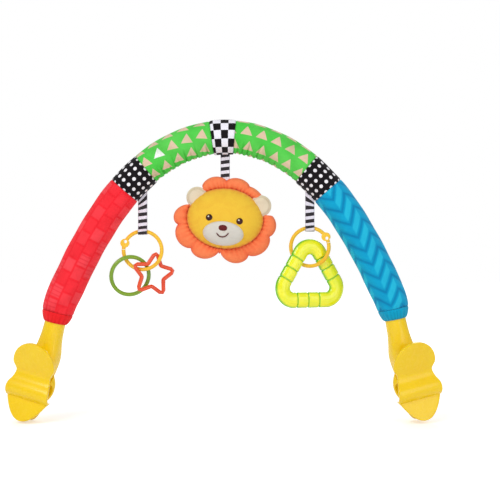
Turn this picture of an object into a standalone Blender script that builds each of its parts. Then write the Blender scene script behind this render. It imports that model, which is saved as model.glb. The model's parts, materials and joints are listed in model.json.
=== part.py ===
"""Stroller activity arch: a padded, bendable arch on two spring clips, with three hanging toys.

Metres, +Z up, +X to the viewer's right, -Y towards the viewer. The origin lies midway between
the grips of the two clips, on the line of the bar or rim that they hold.
"""

import math

import bmesh
import bpy
import numpy as np
from mathutils import Matrix, Vector

for item in list(bpy.data.objects):
    bpy.data.objects.remove(item, do_unlink=True)

# Clearances shared by the pieces
seat_gap = 0.0003
running_gap = 0.0002
cut_overrun = 0.004
weld_distance = 0.000001
flat_angle = math.radians(0.05)

# The arch, measured along its centreline from the top of the bow
arch_half_length = 0.3088
arch_straight_end = 0.012
arch_turn = math.radians(65.34)
arch_turn_power = 2.275
end_bend_length = 0.025
left_clip_lean = math.radians(14.0)
right_clip_lean = math.radians(11.8)
right_end_short = 0.0025
right_half_length = arch_half_length - right_end_short

# Padding and its sleeves
sleeve_radius = 0.0195
sleeve_wall = 0.0016
seam_tuck = 0.0007
arm_taper_length = 0.026
cuff_seam_radius = 0.0178
cuff_mouth_radius = 0.0134
cuff_wall = 0.0010
checker_start = -0.0166
checker_end = 0.0098
triangle_end = 0.1010
dots_end = 0.1360
red_cuff_length = 0.0125
blue_cuff_length = 0.0125
blue_cuff_end = right_half_length - 0.0020
rod_radius = 0.0040
rod_bore_gap = 0.0005
foam_end_inset = 0.048
foam_slack = 0.0010

# The swivel between the arch and each clip
spigot_radius = 0.0065
spigot_above_neck = 0.022
spigot_below_neck = 0.024
spigot_socket_depth = 0.012
collar_radius = 0.0088
collar_height = 0.003

# The clip: drop is measured down its axis from the mouth of the cuff, reach towards its front
neck_radius = 0.0120
neck_inside_cuff = 0.008
body_bottom_drop = 0.066
clip_length = 0.1145
eye_reach = 0.012
eye_drop = 0.078
eye_radius = 0.0105
eye_front_stretch = 1.15
eye_front_sag = 0.18
jaw_gap = 0.0008
lever_thickness = 0.0032
rear_jaw_thickness = 0.0036
rear_jaw_root = 0.008
plate_edge = 0.0010
disc_radius = 0.0268
disc_top_reach = 0.0350
disc_top_drop = 0.0256
waist_reach = 0.0196
waist_drop = 0.0614
waist_half_width = 0.0216
front_jaw_half_width = 0.0275
rear_jaw_half_width = 0.0195
lip_drop = 0.0902
lip_reach = 0.0075
nose_flare = 0.0055
# Run of a jaw's nose below its lip and its half width there, as shares
nose_shares = ((0.2, 0.93), (0.45, 0.765), (0.68, 0.58), (0.85, 0.40), (0.95, 0.23),
               (0.995, 0.08))
shell_gap = 0.0003
ear_side_gap = 0.0006
# Sections of the housing: drop as a share of the body's, half width, half depth and forward
# shift as shares of the neck's radius, and how square the section is
body_side_share = 1.083
housing_section_shares = (
    (0.0, 1.0, 1.0, 0.0, 2.0), (0.227, 1.042, 1.017, 0.0, 2.1), (0.379, 1.133, 1.05, 0.0, 2.4),
    (0.53, 1.267, 1.083, 0.0, 2.9), (0.667, 1.25, 1.10, 0.0, 3.4), (0.788, 1.10, 1.067, 0.0, 4.0),
    (0.886, body_side_share, 0.983, 0.083, 4.0), (1.0, 1.15, 0.70, 0.35, 3.6))
ear_inner = neck_radius * body_side_share + ear_side_gap

# Pivot, ears and torsion spring of the lever
pin_reach = 0.0085
pin_drop = 0.0575
pin_radius = 0.0015
ear_thickness = 0.0024
ear_radius = 0.0042
pocket_half_width = 0.0052
pocket_back_reach = 0.0044
pocket_top_drop = 0.046
pocket_bottom_drop = 0.0625
spring_radius = 0.0030
spring_wire_radius = 0.0005
spring_turns = 5
spring_half_length = 0.0040
spring_leg_start = 0.0050
spring_leg_end = 0.0095
spring_foot_drop = 0.0036
spring_leg_gap = 0.00045

# Screws that close the clip's housing
screw_head_radius = 0.0026
screw_head_height = 0.0018
screw_radius = 0.00125
screw_seat = 0.0096
screw_depth = 0.0090
screw_places = {"1": (0.0070, 0.0330), "2": (-0.0070, 0.0330),
                "3": (-0.0065, 0.0480), "4": (-0.0005, 0.0600)}

# Turn of each clip about its neck, as it is stored
left_clip_turn = math.radians(-19.0)
right_clip_turn = math.radians(19.0)

# Ribbons, from their sewn line to the wire that they carry
ribbon_half_width = 0.00525
ribbon_thickness = 0.0018
side_ribbon_place = 0.1278
left_ribbon_length = 0.0389
right_ribbon_length = 0.0350
lion_ribbon_place = -0.0015
lion_ribbon_length = 0.0294
ribbon_loop_radius = 0.0037
ribbon_loop_wall = 0.0008

# Link rings with their snap eyes
link_radius = 0.0220
link_wire_radius = 0.0023
eye_disc_radius = 0.0051
eye_disc_half_thickness = 0.0026
eye_hole_radius = 0.0019
eye_hole_offset = 0.0020
snap_slit = 0.0004
left_snap_angle = math.radians(158.0)
right_snap_angle = math.radians(32.0)
right_link_turn = math.radians(-9.5)

# Small toys on the left link ring, from the centre of that ring
green_ring_radius = 0.0220
green_wire_radius = 0.00235
green_ring_centre = (-0.0145, -0.0292)
green_ring_spread = 0.0056
star_centre = (0.0118, -0.0278)
star_tip_radius = 0.0270
star_notch_radius = 0.0135
star_corner_radius = 0.0026
star_wire_radius = 0.0024
star_tip_angle = math.radians(81.8)
star_turn = math.radians(22.0)
star_crossing_offset = 0.0065

# Triangular teether on the right link ring
teether_tube_radius = 0.0090
teether_half_depth = 0.0052
teether_corner_radius = 0.0137
teether_turn = math.radians(22.0)
teether_apex_rise = -0.0135
teether_base_rise = -0.0472
teether_half_base = 0.0204
groove_depth = 0.0007
groove_half_width = 0.0006
groove_spacing = 0.0115

# The lion's head, from its centre
lion_tilt = math.radians(-5.0)
face_half_width = 0.0436
face_half_height = 0.0345
face_depth = 0.0200
face_fullness = 0.55
back_half_width = 0.0405
back_half_height = 0.0320
back_depth = 0.0190
mane_half_thickness = 0.0034
mane_lobe_bulge = 0.0042
mane_inner_share = 1.015
mane_valley_radius = 0.0434
mane_least_rim = 0.0015
lion_drop_to_centre = mane_valley_radius + seat_gap
# Lobes of the mane: first and last angle, radius at both, and how far each swells beyond
mane_lobes = ((99.5, 130.0, 0.0440, 0.0460, 0.0060), (163.0, 191.8, 0.0434, 0.0540, 0.0098),
              (191.8, 225.6, 0.0540, 0.0513, 0.0077), (225.6, 264.6, 0.0513, 0.0375, 0.0085),
              (266.0, 307.3, 0.0375, 0.0493, 0.0088), (307.3, 342.8, 0.0493, 0.0544, 0.0069),
              (342.8, 369.9, 0.0544, 0.0522, 0.0061), (36.0, 80.5, 0.0495, 0.0440, 0.0055))
ear_ball_radius = 0.0124
ear_ball_half_thickness = 0.0050
left_ear_centre = (-0.0333, 0.0238)
right_ear_centre = (0.0400, 0.0160)
muzzle_centre = (-0.0026, -0.0174)
muzzle_half_width = 0.0232
muzzle_half_height = 0.0138
muzzle_proud = 0.0045
nose_centre = (-0.0029, -0.0100)
nose_half_width = 0.0056
nose_half_height = 0.0038
nose_proud = 0.0016
eye_centres = {"left": (-0.0190, 0.0010), "right": (0.0161, -0.0020)}
eye_dot_radius = 0.0036
eye_dot_proud = 0.0012
patch_gap = 0.0003
patch_edge = 0.0006

# Outline of the nose, a rounded triangle, as shares of its half width and half height
nose_outline_shares = ((1.0, 0.55), (0.75, 0.95), (0.0, 1.0), (-0.75, 0.95), (-1.0, 0.55),
                       (-0.75, 0.0), (-0.35, -0.75), (0.0, -1.0), (0.35, -0.75), (0.75, 0.0))


# Materials


def plain_material(name, colour, roughness, metallic=0.0):
    """A Principled material of one colour."""
    material = bpy.data.materials.new(name)
    material.use_nodes = True
    shader = material.node_tree.nodes["Principled BSDF"]
    shader.inputs["Base Color"].default_value = (*colour, 1.0)
    shader.inputs["Roughness"].default_value = roughness
    shader.inputs["Metallic"].default_value = metallic
    return material


clip_yellow = (0.93, 0.62, 0.03)
link_yellow = (0.94, 0.55, 0.05)
steel_grey = (0.55, 0.55, 0.56)


# Mesh helpers


def face_outwards(shape):
    """Turn every face of a closed shape outwards."""
    bmesh.ops.recalc_face_normals(shape, faces=shape.faces)
    if shape.calc_volume(signed=True) < 0:
        bmesh.ops.reverse_faces(shape, faces=shape.faces)


def finished_mesh(shape, name):
    """A mesh from a shape, which it frees; several objects can share it."""
    mesh = bpy.data.meshes.new(name)
    face_outwards(shape)
    shape.to_mesh(mesh)
    shape.free()
    return mesh


def place(shape, name, colour, roughness, metallic=0.0, parent=None, smooth=True):
    """One named object around a finished bmesh or mesh, with its own material."""
    if isinstance(shape, bmesh.types.BMesh):
        mesh = finished_mesh(shape, name)
    else:
        mesh = shape.copy()
        mesh.name = name
    mesh.materials.clear()
    mesh.materials.append(plain_material(name, colour, roughness, metallic))
    if smooth:
        mesh.shade_smooth()
        mesh.set_sharp_from_angle(angle=math.radians(40.0))
    piece = bpy.data.objects.new(name, mesh)
    bpy.context.scene.collection.objects.link(piece)
    piece.parent = parent
    return piece


def empty(name, matrix, parent=None):
    """A joint's frame: pieces that turn about it are its children."""
    frame = bpy.data.objects.new(name, None)
    bpy.context.scene.collection.objects.link(frame)
    frame.parent = parent
    frame.matrix_local = matrix
    return frame


def combined(base, tool, operation):
    """The mesh that a Boolean of two bmeshes leaves."""
    pieces = []
    for shape in (base, tool):
        face_outwards(shape)
        bmesh.ops.triangulate(shape, faces=shape.faces)
        piece = bpy.data.objects.new("boolean_shape", finished_mesh(shape, "boolean_shape"))
        bpy.context.scene.collection.objects.link(piece)
        pieces.append(piece)
    modifier = pieces[0].modifiers.new("cut", "BOOLEAN")
    modifier.operation = operation
    modifier.solver = "EXACT"
    modifier.object = pieces[1]
    bpy.context.view_layer.update()
    evaluated = pieces[0].evaluated_get(bpy.context.evaluated_depsgraph_get())
    result = bmesh.new()
    result.from_mesh(evaluated.to_mesh())
    for piece in pieces:
        bpy.data.objects.remove(piece, do_unlink=True)
    bmesh.ops.remove_doubles(result, verts=result.verts, dist=weld_distance)
    bmesh.ops.dissolve_degenerate(result, edges=result.edges, dist=weld_distance)
    return result


def with_flats_merged(shape):
    """The shape with its coplanar triangles joined into single faces."""
    bmesh.ops.dissolve_limit(shape, verts=shape.verts, edges=shape.edges,
                             angle_limit=flat_angle)
    return shape


def bridge(shape, rings, closed=False):
    """Faces between rings of equal counts; open runs get end caps, closed ones join up."""
    count = len(rings[0])
    pairs = list(zip(rings, rings[1:] + rings[:1] if closed else rings[1:]))
    for low, high in pairs:
        for step in range(count):
            after = (step + 1) % count
            shape.faces.new((low[step], low[after], high[after], high[step]))
    if not closed:
        shape.faces.new(list(reversed(rings[0])))
        shape.faces.new(rings[-1])


def box(low, high):
    """An upright box between two corners."""
    shape = bmesh.new()
    size = [b - a for a, b in zip(low, high)]
    centre = [(a + b) / 2 for a, b in zip(low, high)]
    matrix = Matrix.Translation(centre) @ Matrix.Diagonal((*size, 1.0))
    bmesh.ops.create_cube(shape, size=1.0, matrix=matrix)
    return shape


def cylinder(radius, start, end, sides):
    """A round bar between two points."""
    shape = bmesh.new()
    run = Vector(end) - Vector(start)
    middle = (Vector(end) + Vector(start)) / 2
    turn = run.to_track_quat("Z", "Y").to_matrix().to_4x4()
    bmesh.ops.create_cone(
        shape, cap_ends=True, segments=sides, radius1=radius, radius2=radius,
        depth=run.length, matrix=Matrix.Translation(middle) @ turn)
    return shape


def turned(profile, sides):
    """A solid of revolution about Z from (radius, height) points that start and end on the axis."""
    shape = bmesh.new()
    angles = [2 * math.pi * step / sides for step in range(sides)]
    bottom = shape.verts.new((0, 0, profile[0][1]))
    top = shape.verts.new((0, 0, profile[-1][1]))
    rings = [[shape.verts.new((r * math.cos(a), r * math.sin(a), z)) for a in angles]
             for r, z in profile[1:-1]]
    for low, high in zip(rings, rings[1:]):
        for step in range(sides):
            after = (step + 1) % sides
            shape.faces.new((low[step], low[after], high[after], high[step]))
    for step in range(sides):
        after = (step + 1) % sides
        shape.faces.new((bottom, rings[0][after], rings[0][step]))
        shape.faces.new((top, rings[-1][step], rings[-1][after]))
    return shape


def swept(points, frames, section, closed):
    """A section of (outward, sideways) points swept along a path with its frames."""
    shape = bmesh.new()
    rings = []
    for index, (point, (outward, sideways)) in enumerate(zip(points, frames)):
        rings.append([shape.verts.new(point + outward * a + sideways * b)
                      for a, b in section(index)])
    bridge(shape, rings, closed)
    return shape


def round_section(radius, sides, depth=None):
    """Points of a round or oval section."""
    depth = radius if depth is None else depth
    steps = [2 * math.pi * (step + 0.5) / sides for step in range(sides)]
    return [(radius * math.cos(a), depth * math.sin(a)) for a in steps]


def ball(centre, radii, segments, rings):
    """An ellipsoid."""
    shape = bmesh.new()
    matrix = Matrix.Translation(centre) @ Matrix.Diagonal((*radii, 1.0))
    bmesh.ops.create_uvsphere(
        shape, u_segments=segments, v_segments=rings, radius=1.0, matrix=matrix)
    return shape


# The bow of the arch


def bow_table(lean, end_short, steps=400):
    """Length, x, drop and angle along half of the bow: most bent at the top, straight at its end."""
    end_bend = math.pi / 2 - lean - arch_turn
    length = np.linspace(0.0, arch_half_length, steps + 1)
    curved = arch_half_length - arch_straight_end
    share = np.clip(length / curved, 0.0, 1.0)
    bend_start = curved - end_short - end_bend_length
    late = np.clip((length - bend_start) / end_bend_length, 0.0, 1.0)
    angle = arch_turn * (1 - (1 - share) ** arch_turn_power) + end_bend * late * late * (3 - 2 * late)
    step_length = arch_half_length / steps
    middle = (angle[1:] + angle[:-1]) / 2
    x = np.concatenate([[0.0], np.cumsum(np.cos(middle)) * step_length])
    drop = np.concatenate([[0.0], np.cumsum(np.sin(middle)) * step_length])
    return length, x, drop, angle


left_bow = bow_table(left_clip_lean, 0.0)
right_bow = bow_table(right_clip_lean, right_end_short)
bow_rise = float(left_bow[2][-1])
arch_end_height = eye_drop * math.cos(left_clip_lean)
arch_top_height = arch_end_height + bow_rise
arch_plane = eye_reach


def bow_frame(place_along):
    """Point, tangent and outward normal at a length from the top; negative is to the left."""
    side = -1.0 if place_along < 0 else 1.0
    lengths, *columns = left_bow if place_along < 0 else right_bow
    x, drop, angle = (float(np.interp(abs(place_along), lengths, column)) for column in columns)
    point = Vector((side * x, arch_plane, arch_top_height - drop))
    tangent = Vector((math.cos(angle), 0, -side * math.sin(angle)))
    outward = Vector((side * math.sin(angle), 0, math.cos(angle)))
    return point, tangent, outward


def bow_stations(start, end, count):
    """Lengths from start to end that lie closer together near both ends."""
    return [start + (end - start) * (1 - math.cos(math.pi * step / count)) / 2
            for step in range(count + 1)]


def arch_tube(stations, outer_radius, inner_radius, sides):
    """A tube along the bow between an outer and an inner radius, both given by length."""
    shape = bmesh.new()
    loops = []
    for radius_at, order in ((outer_radius, stations), (inner_radius, list(reversed(stations)))):
        for along in order:
            point, _, outward = bow_frame(along)
            loops.append([shape.verts.new(point + outward * a + Vector((0, b, 0)))
                          for a, b in round_section(radius_at(along), sides)])
    bridge(shape, loops, closed=True)
    return shape


def arch_rod(stations, radius, sides):
    """A solid rod along the bow."""
    points = [bow_frame(along)[0] for along in stations]
    frames = [(bow_frame(along)[2], Vector((0, 1, 0))) for along in stations]
    return swept(points, frames, lambda index: round_section(radius, sides), closed=False)


def padded_radius(start, end):
    """A sleeve's outer radius: drawn in where it is sewn at both ends."""
    def radius_at(along):
        share = (along - start) / (end - start)
        return sleeve_radius - seam_tuck * abs(2 * share - 1) ** 8
    return radius_at


def arm_radius(cuff_start):
    """An arm's outer radius: full, then narrower towards the seam of its cuff."""
    def radius_at(along):
        late = max(0.0, (abs(along) - cuff_start + arm_taper_length) / arm_taper_length)
        early = max(0.0, 1 - (abs(along) - dots_end) / arm_taper_length)
        full = sleeve_radius - seam_tuck * early ** 8
        return full - (sleeve_radius - cuff_seam_radius) * late * late
    return radius_at


def cuff_radius(cuff_start, cuff_end):
    """A cuff's outer radius: gathered from its seam down to its mouth."""
    def radius_at(along):
        share = (abs(along) - cuff_start) / (cuff_end - cuff_start)
        return cuff_seam_radius - (cuff_seam_radius - cuff_mouth_radius) * share ** 1.6
    return radius_at


def less(radius_at, wall):
    """The radius inside a wall."""
    return lambda along: radius_at(along) - wall


def sleeve(name, start, end, radius_at, wall, count, colour):
    """One sewn sleeve section, with half a seam gap at each end."""
    half_gap = seat_gap / 2
    stations = bow_stations(start + half_gap, end - half_gap, count)
    shape = arch_tube(stations, radius_at, less(radius_at, wall), sleeve_sides)
    return place(shape, name, colour, 0.9)


sleeve_sides = 16
foam_sides = 10
foam_radius = sleeve_radius - seam_tuck - sleeve_wall - foam_slack
foam_half_length = arch_half_length - foam_end_inset
rod_in_socket = spigot_socket_depth - seat_gap
left_spigot_top = arch_half_length - spigot_above_neck
right_spigot_top = right_half_length - spigot_above_neck

foam_steps = 22
foam_stations = [foam_half_length * (2 * step / foam_steps - 1) for step in range(foam_steps + 1)]
rod_stations = ([-left_spigot_top - rod_in_socket, -left_spigot_top] + foam_stations
                + [right_spigot_top, right_spigot_top + rod_in_socket])
place(arch_rod(rod_stations, rod_radius, 8), "core_rod", (0.85, 0.85, 0.82), 0.5)
place(arch_tube(foam_stations, lambda along: foam_radius,
                lambda along: rod_radius + rod_bore_gap, foam_sides),
      "foam_padding", (0.88, 0.88, 0.84), 0.95)

red_cuff_start = arch_half_length - red_cuff_length
blue_cuff_start = blue_cuff_end - blue_cuff_length
sleeve("red_cuff", -arch_half_length, -red_cuff_start,
       cuff_radius(red_cuff_start, arch_half_length), cuff_wall, 3, (0.80, 0.01, 0.02))
sleeve("red_sleeve", -red_cuff_start, -dots_end, arm_radius(red_cuff_start),
       sleeve_wall, 8, (0.95, 0.05, 0.08))
sleeve("left_dotted_sleeve", -dots_end, -triangle_end,
       padded_radius(-dots_end, -triangle_end), sleeve_wall, 4, (0.02, 0.01, 0.02))
sleeve("left_green_sleeve", -triangle_end, checker_start,
       padded_radius(-triangle_end, checker_start), sleeve_wall, 6, (0.10, 0.60, 0.10))
sleeve("checkered_sleeve", checker_start, checker_end,
       padded_radius(checker_start, checker_end), sleeve_wall, 3, (0.85, 0.85, 0.88))
sleeve("right_green_sleeve", checker_end, triangle_end,
       padded_radius(checker_end, triangle_end), sleeve_wall, 6, (0.10, 0.60, 0.10))
sleeve("right_dotted_sleeve", triangle_end, dots_end,
       padded_radius(triangle_end, dots_end), sleeve_wall, 4, (0.02, 0.01, 0.02))
sleeve("blue_sleeve", dots_end, blue_cuff_start, arm_radius(blue_cuff_start),
       sleeve_wall, 8, (0.01, 0.38, 0.68))
sleeve("blue_cuff", blue_cuff_start, blue_cuff_end,
       cuff_radius(blue_cuff_start, blue_cuff_end), cuff_wall, 3, (0.02, 0.50, 0.75))


# The spring clips, built once about their own axis and then placed on both ends


def at_clip(x, reach, drop):
    """A point of the clip from its width, reach and drop."""
    return Vector((x, -reach, -drop))


def plate(stations):
    """A plate from (front, back, half width) stations, with a chamfered rim."""
    shape = bmesh.new()
    rings = []
    rim_share = 0.3
    for front, back, half_width in stations:
        inset = min(plate_edge, half_width * rim_share)
        corners = []
        for x, share in ((-half_width, rim_share), (-half_width + inset, 0.0),
                         (half_width - inset, 0.0), (half_width, rim_share),
                         (half_width, 1 - rim_share), (half_width - inset, 1.0),
                         (-half_width + inset, 1.0), (-half_width, 1 - rim_share)):
            reach = front[0] + (back[0] - front[0]) * share
            drop = front[1] + (back[1] - front[1]) * share
            corners.append(shape.verts.new(at_clip(x, reach, drop)))
        rings.append(corners)
    bridge(shape, rings)
    return shape


def thickened(middle, thickness):
    """Stations of a plate from its middle line of (reach, drop, half width) points."""
    stations = []
    for index, (reach, drop, half_width) in enumerate(middle):
        here = Vector((reach, drop))
        into = here - Vector(middle[max(index - 1, 0)][:2])
        out = Vector(middle[min(index + 1, len(middle) - 1)][:2]) - here
        into = into.normalized() if into.length > 0 else out.normalized()
        out = out.normalized() if out.length > 0 else into
        along = (into + out).normalized()
        mitre = thickness / 2 / max(along.dot(out), 0.5)
        across = Vector((along.y, -along.x)) * mitre
        stations.append((here + across, here - across, half_width))
    return stations


def lip_and_nose(centre_reach, side, half_width, thickness):
    """Stations below a jaw's arc: the lip that closes the eye, then the flared nose."""
    outer = Vector((centre_reach + side * lip_reach, lip_drop))
    inner = Vector((centre_reach, eye_drop + eye_radius))
    run = Vector((side * nose_flare, clip_length - lip_drop))
    along = run.normalized()
    across = Vector((-side * along.y, side * along.x)) * thickness
    pairs = [(outer, inner, half_width)]
    for share, width_share in nose_shares:
        point = outer + run * share
        pairs.append((point, point + across, half_width * width_share))
    if side > 0:
        return pairs
    return [(inner_point, outer_point, width) for outer_point, inner_point, width in pairs]


def lever_plate():
    """Thumb disc, waist, front jaw and nose in one bent plate."""
    slant = Vector((waist_reach - disc_top_reach, waist_drop - disc_top_drop))
    below_disc = slant.length - disc_radius
    slant.normalize()
    middle = []
    for angle in (16, 34, 52, 71, 90):
        along = disc_radius * (1 - math.cos(math.radians(angle)))
        middle.append((disc_top_reach + slant.x * along, disc_top_drop + slant.y * along,
                       disc_radius * math.sin(math.radians(angle))))
    for share in (0.35, 0.65, 1.0):
        along = disc_radius + below_disc * share
        narrowing = (1 - math.cos(math.pi * share)) / 2
        middle.append((disc_top_reach + slant.x * along, disc_top_drop + slant.y * along,
                       disc_radius + (waist_half_width - disc_radius) * narrowing))
    stations = thickened(middle, lever_thickness)
    centre_reach = eye_reach + jaw_gap / 2
    outer_radius = eye_radius + lever_thickness
    widen_shares = {48: 0.45, 26: 0.85, 4: 1.0, -18: 1.0, -40: 0.98, -60: 0.95}
    for angle, share in widen_shares.items():
        turn = math.radians(angle)
        radial = Vector((math.cos(turn) * eye_front_stretch,
                         math.cos(turn) * eye_front_sag - math.sin(turn)))
        centre = Vector((centre_reach, eye_drop))
        half_width = waist_half_width + (front_jaw_half_width - waist_half_width) * share
        stations.append((centre + radial * outer_radius, centre + radial * eye_radius,
                         half_width))
    stations += lip_and_nose(centre_reach, 1, stations[-1][2] * 0.97, lever_thickness)
    return plate(stations)


def lever_shape():
    """The lever: its plate and the two ears that turn on the pin."""
    shape = lever_plate()
    slope = (disc_top_reach - waist_reach) / (waist_drop - disc_top_drop)
    root_top = pin_drop - ear_radius * 1.6
    root_bottom = pin_drop + ear_radius * 1.4
    for side in (-1, 1):
        low = side * ear_inner
        high = side * (ear_inner + ear_thickness)
        outline = [(waist_reach + (waist_drop - root_top) * slope, root_top)]
        for angle in (110, 140, 170, 200, 230, 260):
            turn = math.radians(angle)
            outline.append((pin_reach + ear_radius * math.cos(turn),
                            pin_drop - ear_radius * math.sin(turn)))
        outline.append((waist_reach, root_bottom))
        web = bmesh.new()
        rings = [[web.verts.new(at_clip(x, reach, drop)) for reach, drop in outline]
                 for x in (low, high)]
        bridge(web, rings)
        shape = combined(shape, web, "UNION")
    bore = cylinder(pin_radius + running_gap, at_clip(-ear_inner * 2, pin_reach, pin_drop),
                    at_clip(ear_inner * 2, pin_reach, pin_drop), 16)
    return combined(shape, bore, "DIFFERENCE")


def oval_ring(shape, reach, drop, half_width, half_depth, squareness, sides=20):
    """One section of the housing: a circle where squareness is 2, flatter sides above."""
    ring = []
    for step in range(sides):
        angle = 2 * math.pi * (step + 0.5) / sides
        c, s = math.cos(angle), math.sin(angle)
        x = half_width * math.copysign(abs(c) ** (2 / squareness), c)
        y = half_depth * math.copysign(abs(s) ** (2 / squareness), s)
        ring.append(shape.verts.new(at_clip(x, reach - y, drop)))
    return ring


def rear_jaw():
    """The fixed jaw behind the eye, thick at its root, with a flat pad in the middle."""
    centre_reach = eye_reach - jaw_gap / 2
    shares = {62: (1.0, 0.84), 42: (0.42, 0.97), 18: (0.05, 1.0), -18: (0.0, 0.93),
              -40: (0.0, 0.85), -60: (0.0, 0.78)}
    stations = []
    for angle, (root_share, width_share) in shares.items():
        turn = math.radians(angle)
        radial = Vector((-math.cos(turn), -math.sin(turn)))
        centre = Vector((centre_reach, eye_drop))
        outer = eye_radius + rear_jaw_thickness + rear_jaw_root * root_share
        stations.append((centre + radial * eye_radius, centre + radial * outer,
                         rear_jaw_half_width * width_share))
    stations += lip_and_nose(centre_reach, -1, stations[-1][2] * 0.97, rear_jaw_thickness)
    return plate(stations)


def housing_blank():
    """Neck, body and rear jaw before they are split and bored."""
    shape = bmesh.new()
    tucked = neck_radius - seat_gap
    rings = [oval_ring(shape, 0.0, -neck_inside_cuff, tucked, tucked, 2.0)]
    for drop, width, depth, forward, squareness in housing_section_shares:
        rings.append(oval_ring(shape, neck_radius * forward, body_bottom_drop * drop,
                               neck_radius * width, neck_radius * depth, squareness))
    bridge(shape, rings)
    return combined(shape, rear_jaw(), "UNION")


def bored(shape):
    """The housing with the swivel's bore, the spring's pocket, the pin's and screws' holes."""
    bore_radius = spigot_radius + seat_gap
    groove_radius = collar_radius + seat_gap
    groove_top = -spigot_below_neck + collar_height + seat_gap
    groove_bottom = -spigot_below_neck - seat_gap
    swivel = turned(
        [(0, groove_bottom), (groove_radius, groove_bottom), (groove_radius, groove_top),
         (bore_radius, groove_top), (bore_radius, neck_inside_cuff + cut_overrun),
         (0, neck_inside_cuff + cut_overrun)], 20)
    shape = combined(shape, swivel, "DIFFERENCE")
    front = neck_radius + cut_overrun
    pocket = box(at_clip(-pocket_half_width, front, pocket_bottom_drop),
                 at_clip(pocket_half_width, pocket_back_reach, pocket_top_drop))
    shape = combined(shape, pocket, "DIFFERENCE")
    side = rear_jaw_half_width + cut_overrun
    pin_bore = cylinder(pin_radius + running_gap, at_clip(-side, pin_reach, pin_drop),
                        at_clip(side, pin_reach, pin_drop), 16)
    shape = combined(shape, pin_bore, "DIFFERENCE")
    for reach, drop in screw_places.values():
        hole = cylinder(screw_radius + running_gap, at_clip(-side, reach, drop),
                        at_clip(screw_depth + seat_gap, reach, drop), 12)
        shape = combined(shape, hole, "DIFFERENCE")
        counterbore = cylinder(screw_head_radius + seat_gap, at_clip(-side, reach, drop),
                               at_clip(-screw_seat, reach, drop), 14)
        shape = combined(shape, counterbore, "DIFFERENCE")
    return shape


def half_shell(whole, side):
    """The half of the housing on one side of its parting plane."""
    reach = clip_length
    kept_from = side * shell_gap / 2
    far = -side * clip_length
    low = (min(kept_from, far), -reach, -2 * clip_length)
    high = (max(kept_from, far), reach, clip_length)
    return combined(whole.copy(), box(low, high), "DIFFERENCE")


def spring_curve():
    """The torsion spring's wire: coils round the pin, one leg on the lever, one in the pocket."""
    start = math.radians(100.0)
    sweep = 2 * math.pi * spring_turns + math.radians(80.0)
    count = 8 * spring_turns + 2
    points = []
    for step in range(count + 1):
        share = step / count
        angle = start + sweep * share
        points.append(at_clip(spring_half_length * (2 * share - 1),
                              pin_reach + spring_radius * math.cos(angle),
                              pin_drop - spring_radius * math.sin(angle)))
    slope = (disc_top_reach - waist_reach) / (waist_drop - disc_top_drop)
    clear = (lever_thickness / 2 / math.cos(math.atan(slope)) + spring_wire_radius
             + spring_leg_gap)
    upper = [at_clip(-spring_half_length,
                     waist_reach + (waist_drop - drop) * slope - clear, drop)
             for drop in (pin_drop - spring_leg_end, pin_drop - spring_leg_start)]
    lower = [at_clip(spring_half_length, pin_reach - spring_radius, pin_drop + spring_foot_drop)]
    return upper + points + lower


def spring_shape():
    """The spring as one wire with closed ends."""
    route = spring_curve()
    frames = []
    sideways = Vector((1, 0, 0))
    for before, after in zip(route[:1] + route[:-1], route[1:] + route[-1:]):
        along = (after - before).normalized()
        outward = sideways.cross(along).normalized()
        frames.append((outward, along.cross(outward)))
    return swept(route, frames, lambda index: round_section(spring_wire_radius, 6), closed=False)


def screw_shape(reach, drop):
    """A pan-head screw along the clip's width."""
    head = cylinder(screw_head_radius, at_clip(-screw_seat - seat_gap, reach, drop),
                    at_clip(-screw_seat - seat_gap - screw_head_height, reach, drop), 12)
    shank = cylinder(screw_radius, at_clip(-screw_seat - screw_head_height, reach, drop),
                     at_clip(screw_depth, reach, drop), 8)
    return combined(head, shank, "UNION")


def spigot_shape():
    """The plug on the rod's end that the clip swivels on, about its own Z."""
    socket_radius = rod_radius + rod_bore_gap
    socket_floor = spigot_above_neck - spigot_socket_depth
    bottom = -spigot_below_neck
    collar_top = bottom + collar_height
    return turned(
        [(0, bottom), (collar_radius, bottom), (collar_radius, collar_top),
         (spigot_radius, collar_top), (spigot_radius, spigot_above_neck),
         (socket_radius, spigot_above_neck), (socket_radius, socket_floor),
         (0, socket_floor)], 20)


housing = with_flats_merged(bored(housing_blank()))
shell_meshes = {name: finished_mesh(with_flats_merged(half_shell(housing, side)), name)
                for name, side in (("screwed_shell", -1), ("plain_shell", 1))}
housing.free()
lever_mesh = finished_mesh(with_flats_merged(lever_shape()), "lever")
pin_mesh = finished_mesh(
    cylinder(pin_radius, at_clip(-ear_inner - ear_thickness, pin_reach, pin_drop),
             at_clip(ear_inner + ear_thickness, pin_reach, pin_drop), 12), "pin")
screw_meshes = {number: finished_mesh(screw_shape(reach, drop), "screw")
                for number, (reach, drop) in screw_places.items()}
spigot_mesh = finished_mesh(spigot_shape(), "spigot")
spring_mesh = finished_mesh(spring_shape(), "spring")


def for_hand(mesh, hand):
    """The mesh as it is for hand 1, or mirrored for hand -1; screws lie on the hidden side."""
    other = mesh.copy()
    if hand < 0:
        other.transform(Matrix.Scale(hand, 4, (1, 0, 0)))
        other.flip_normals()
    return other


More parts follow.
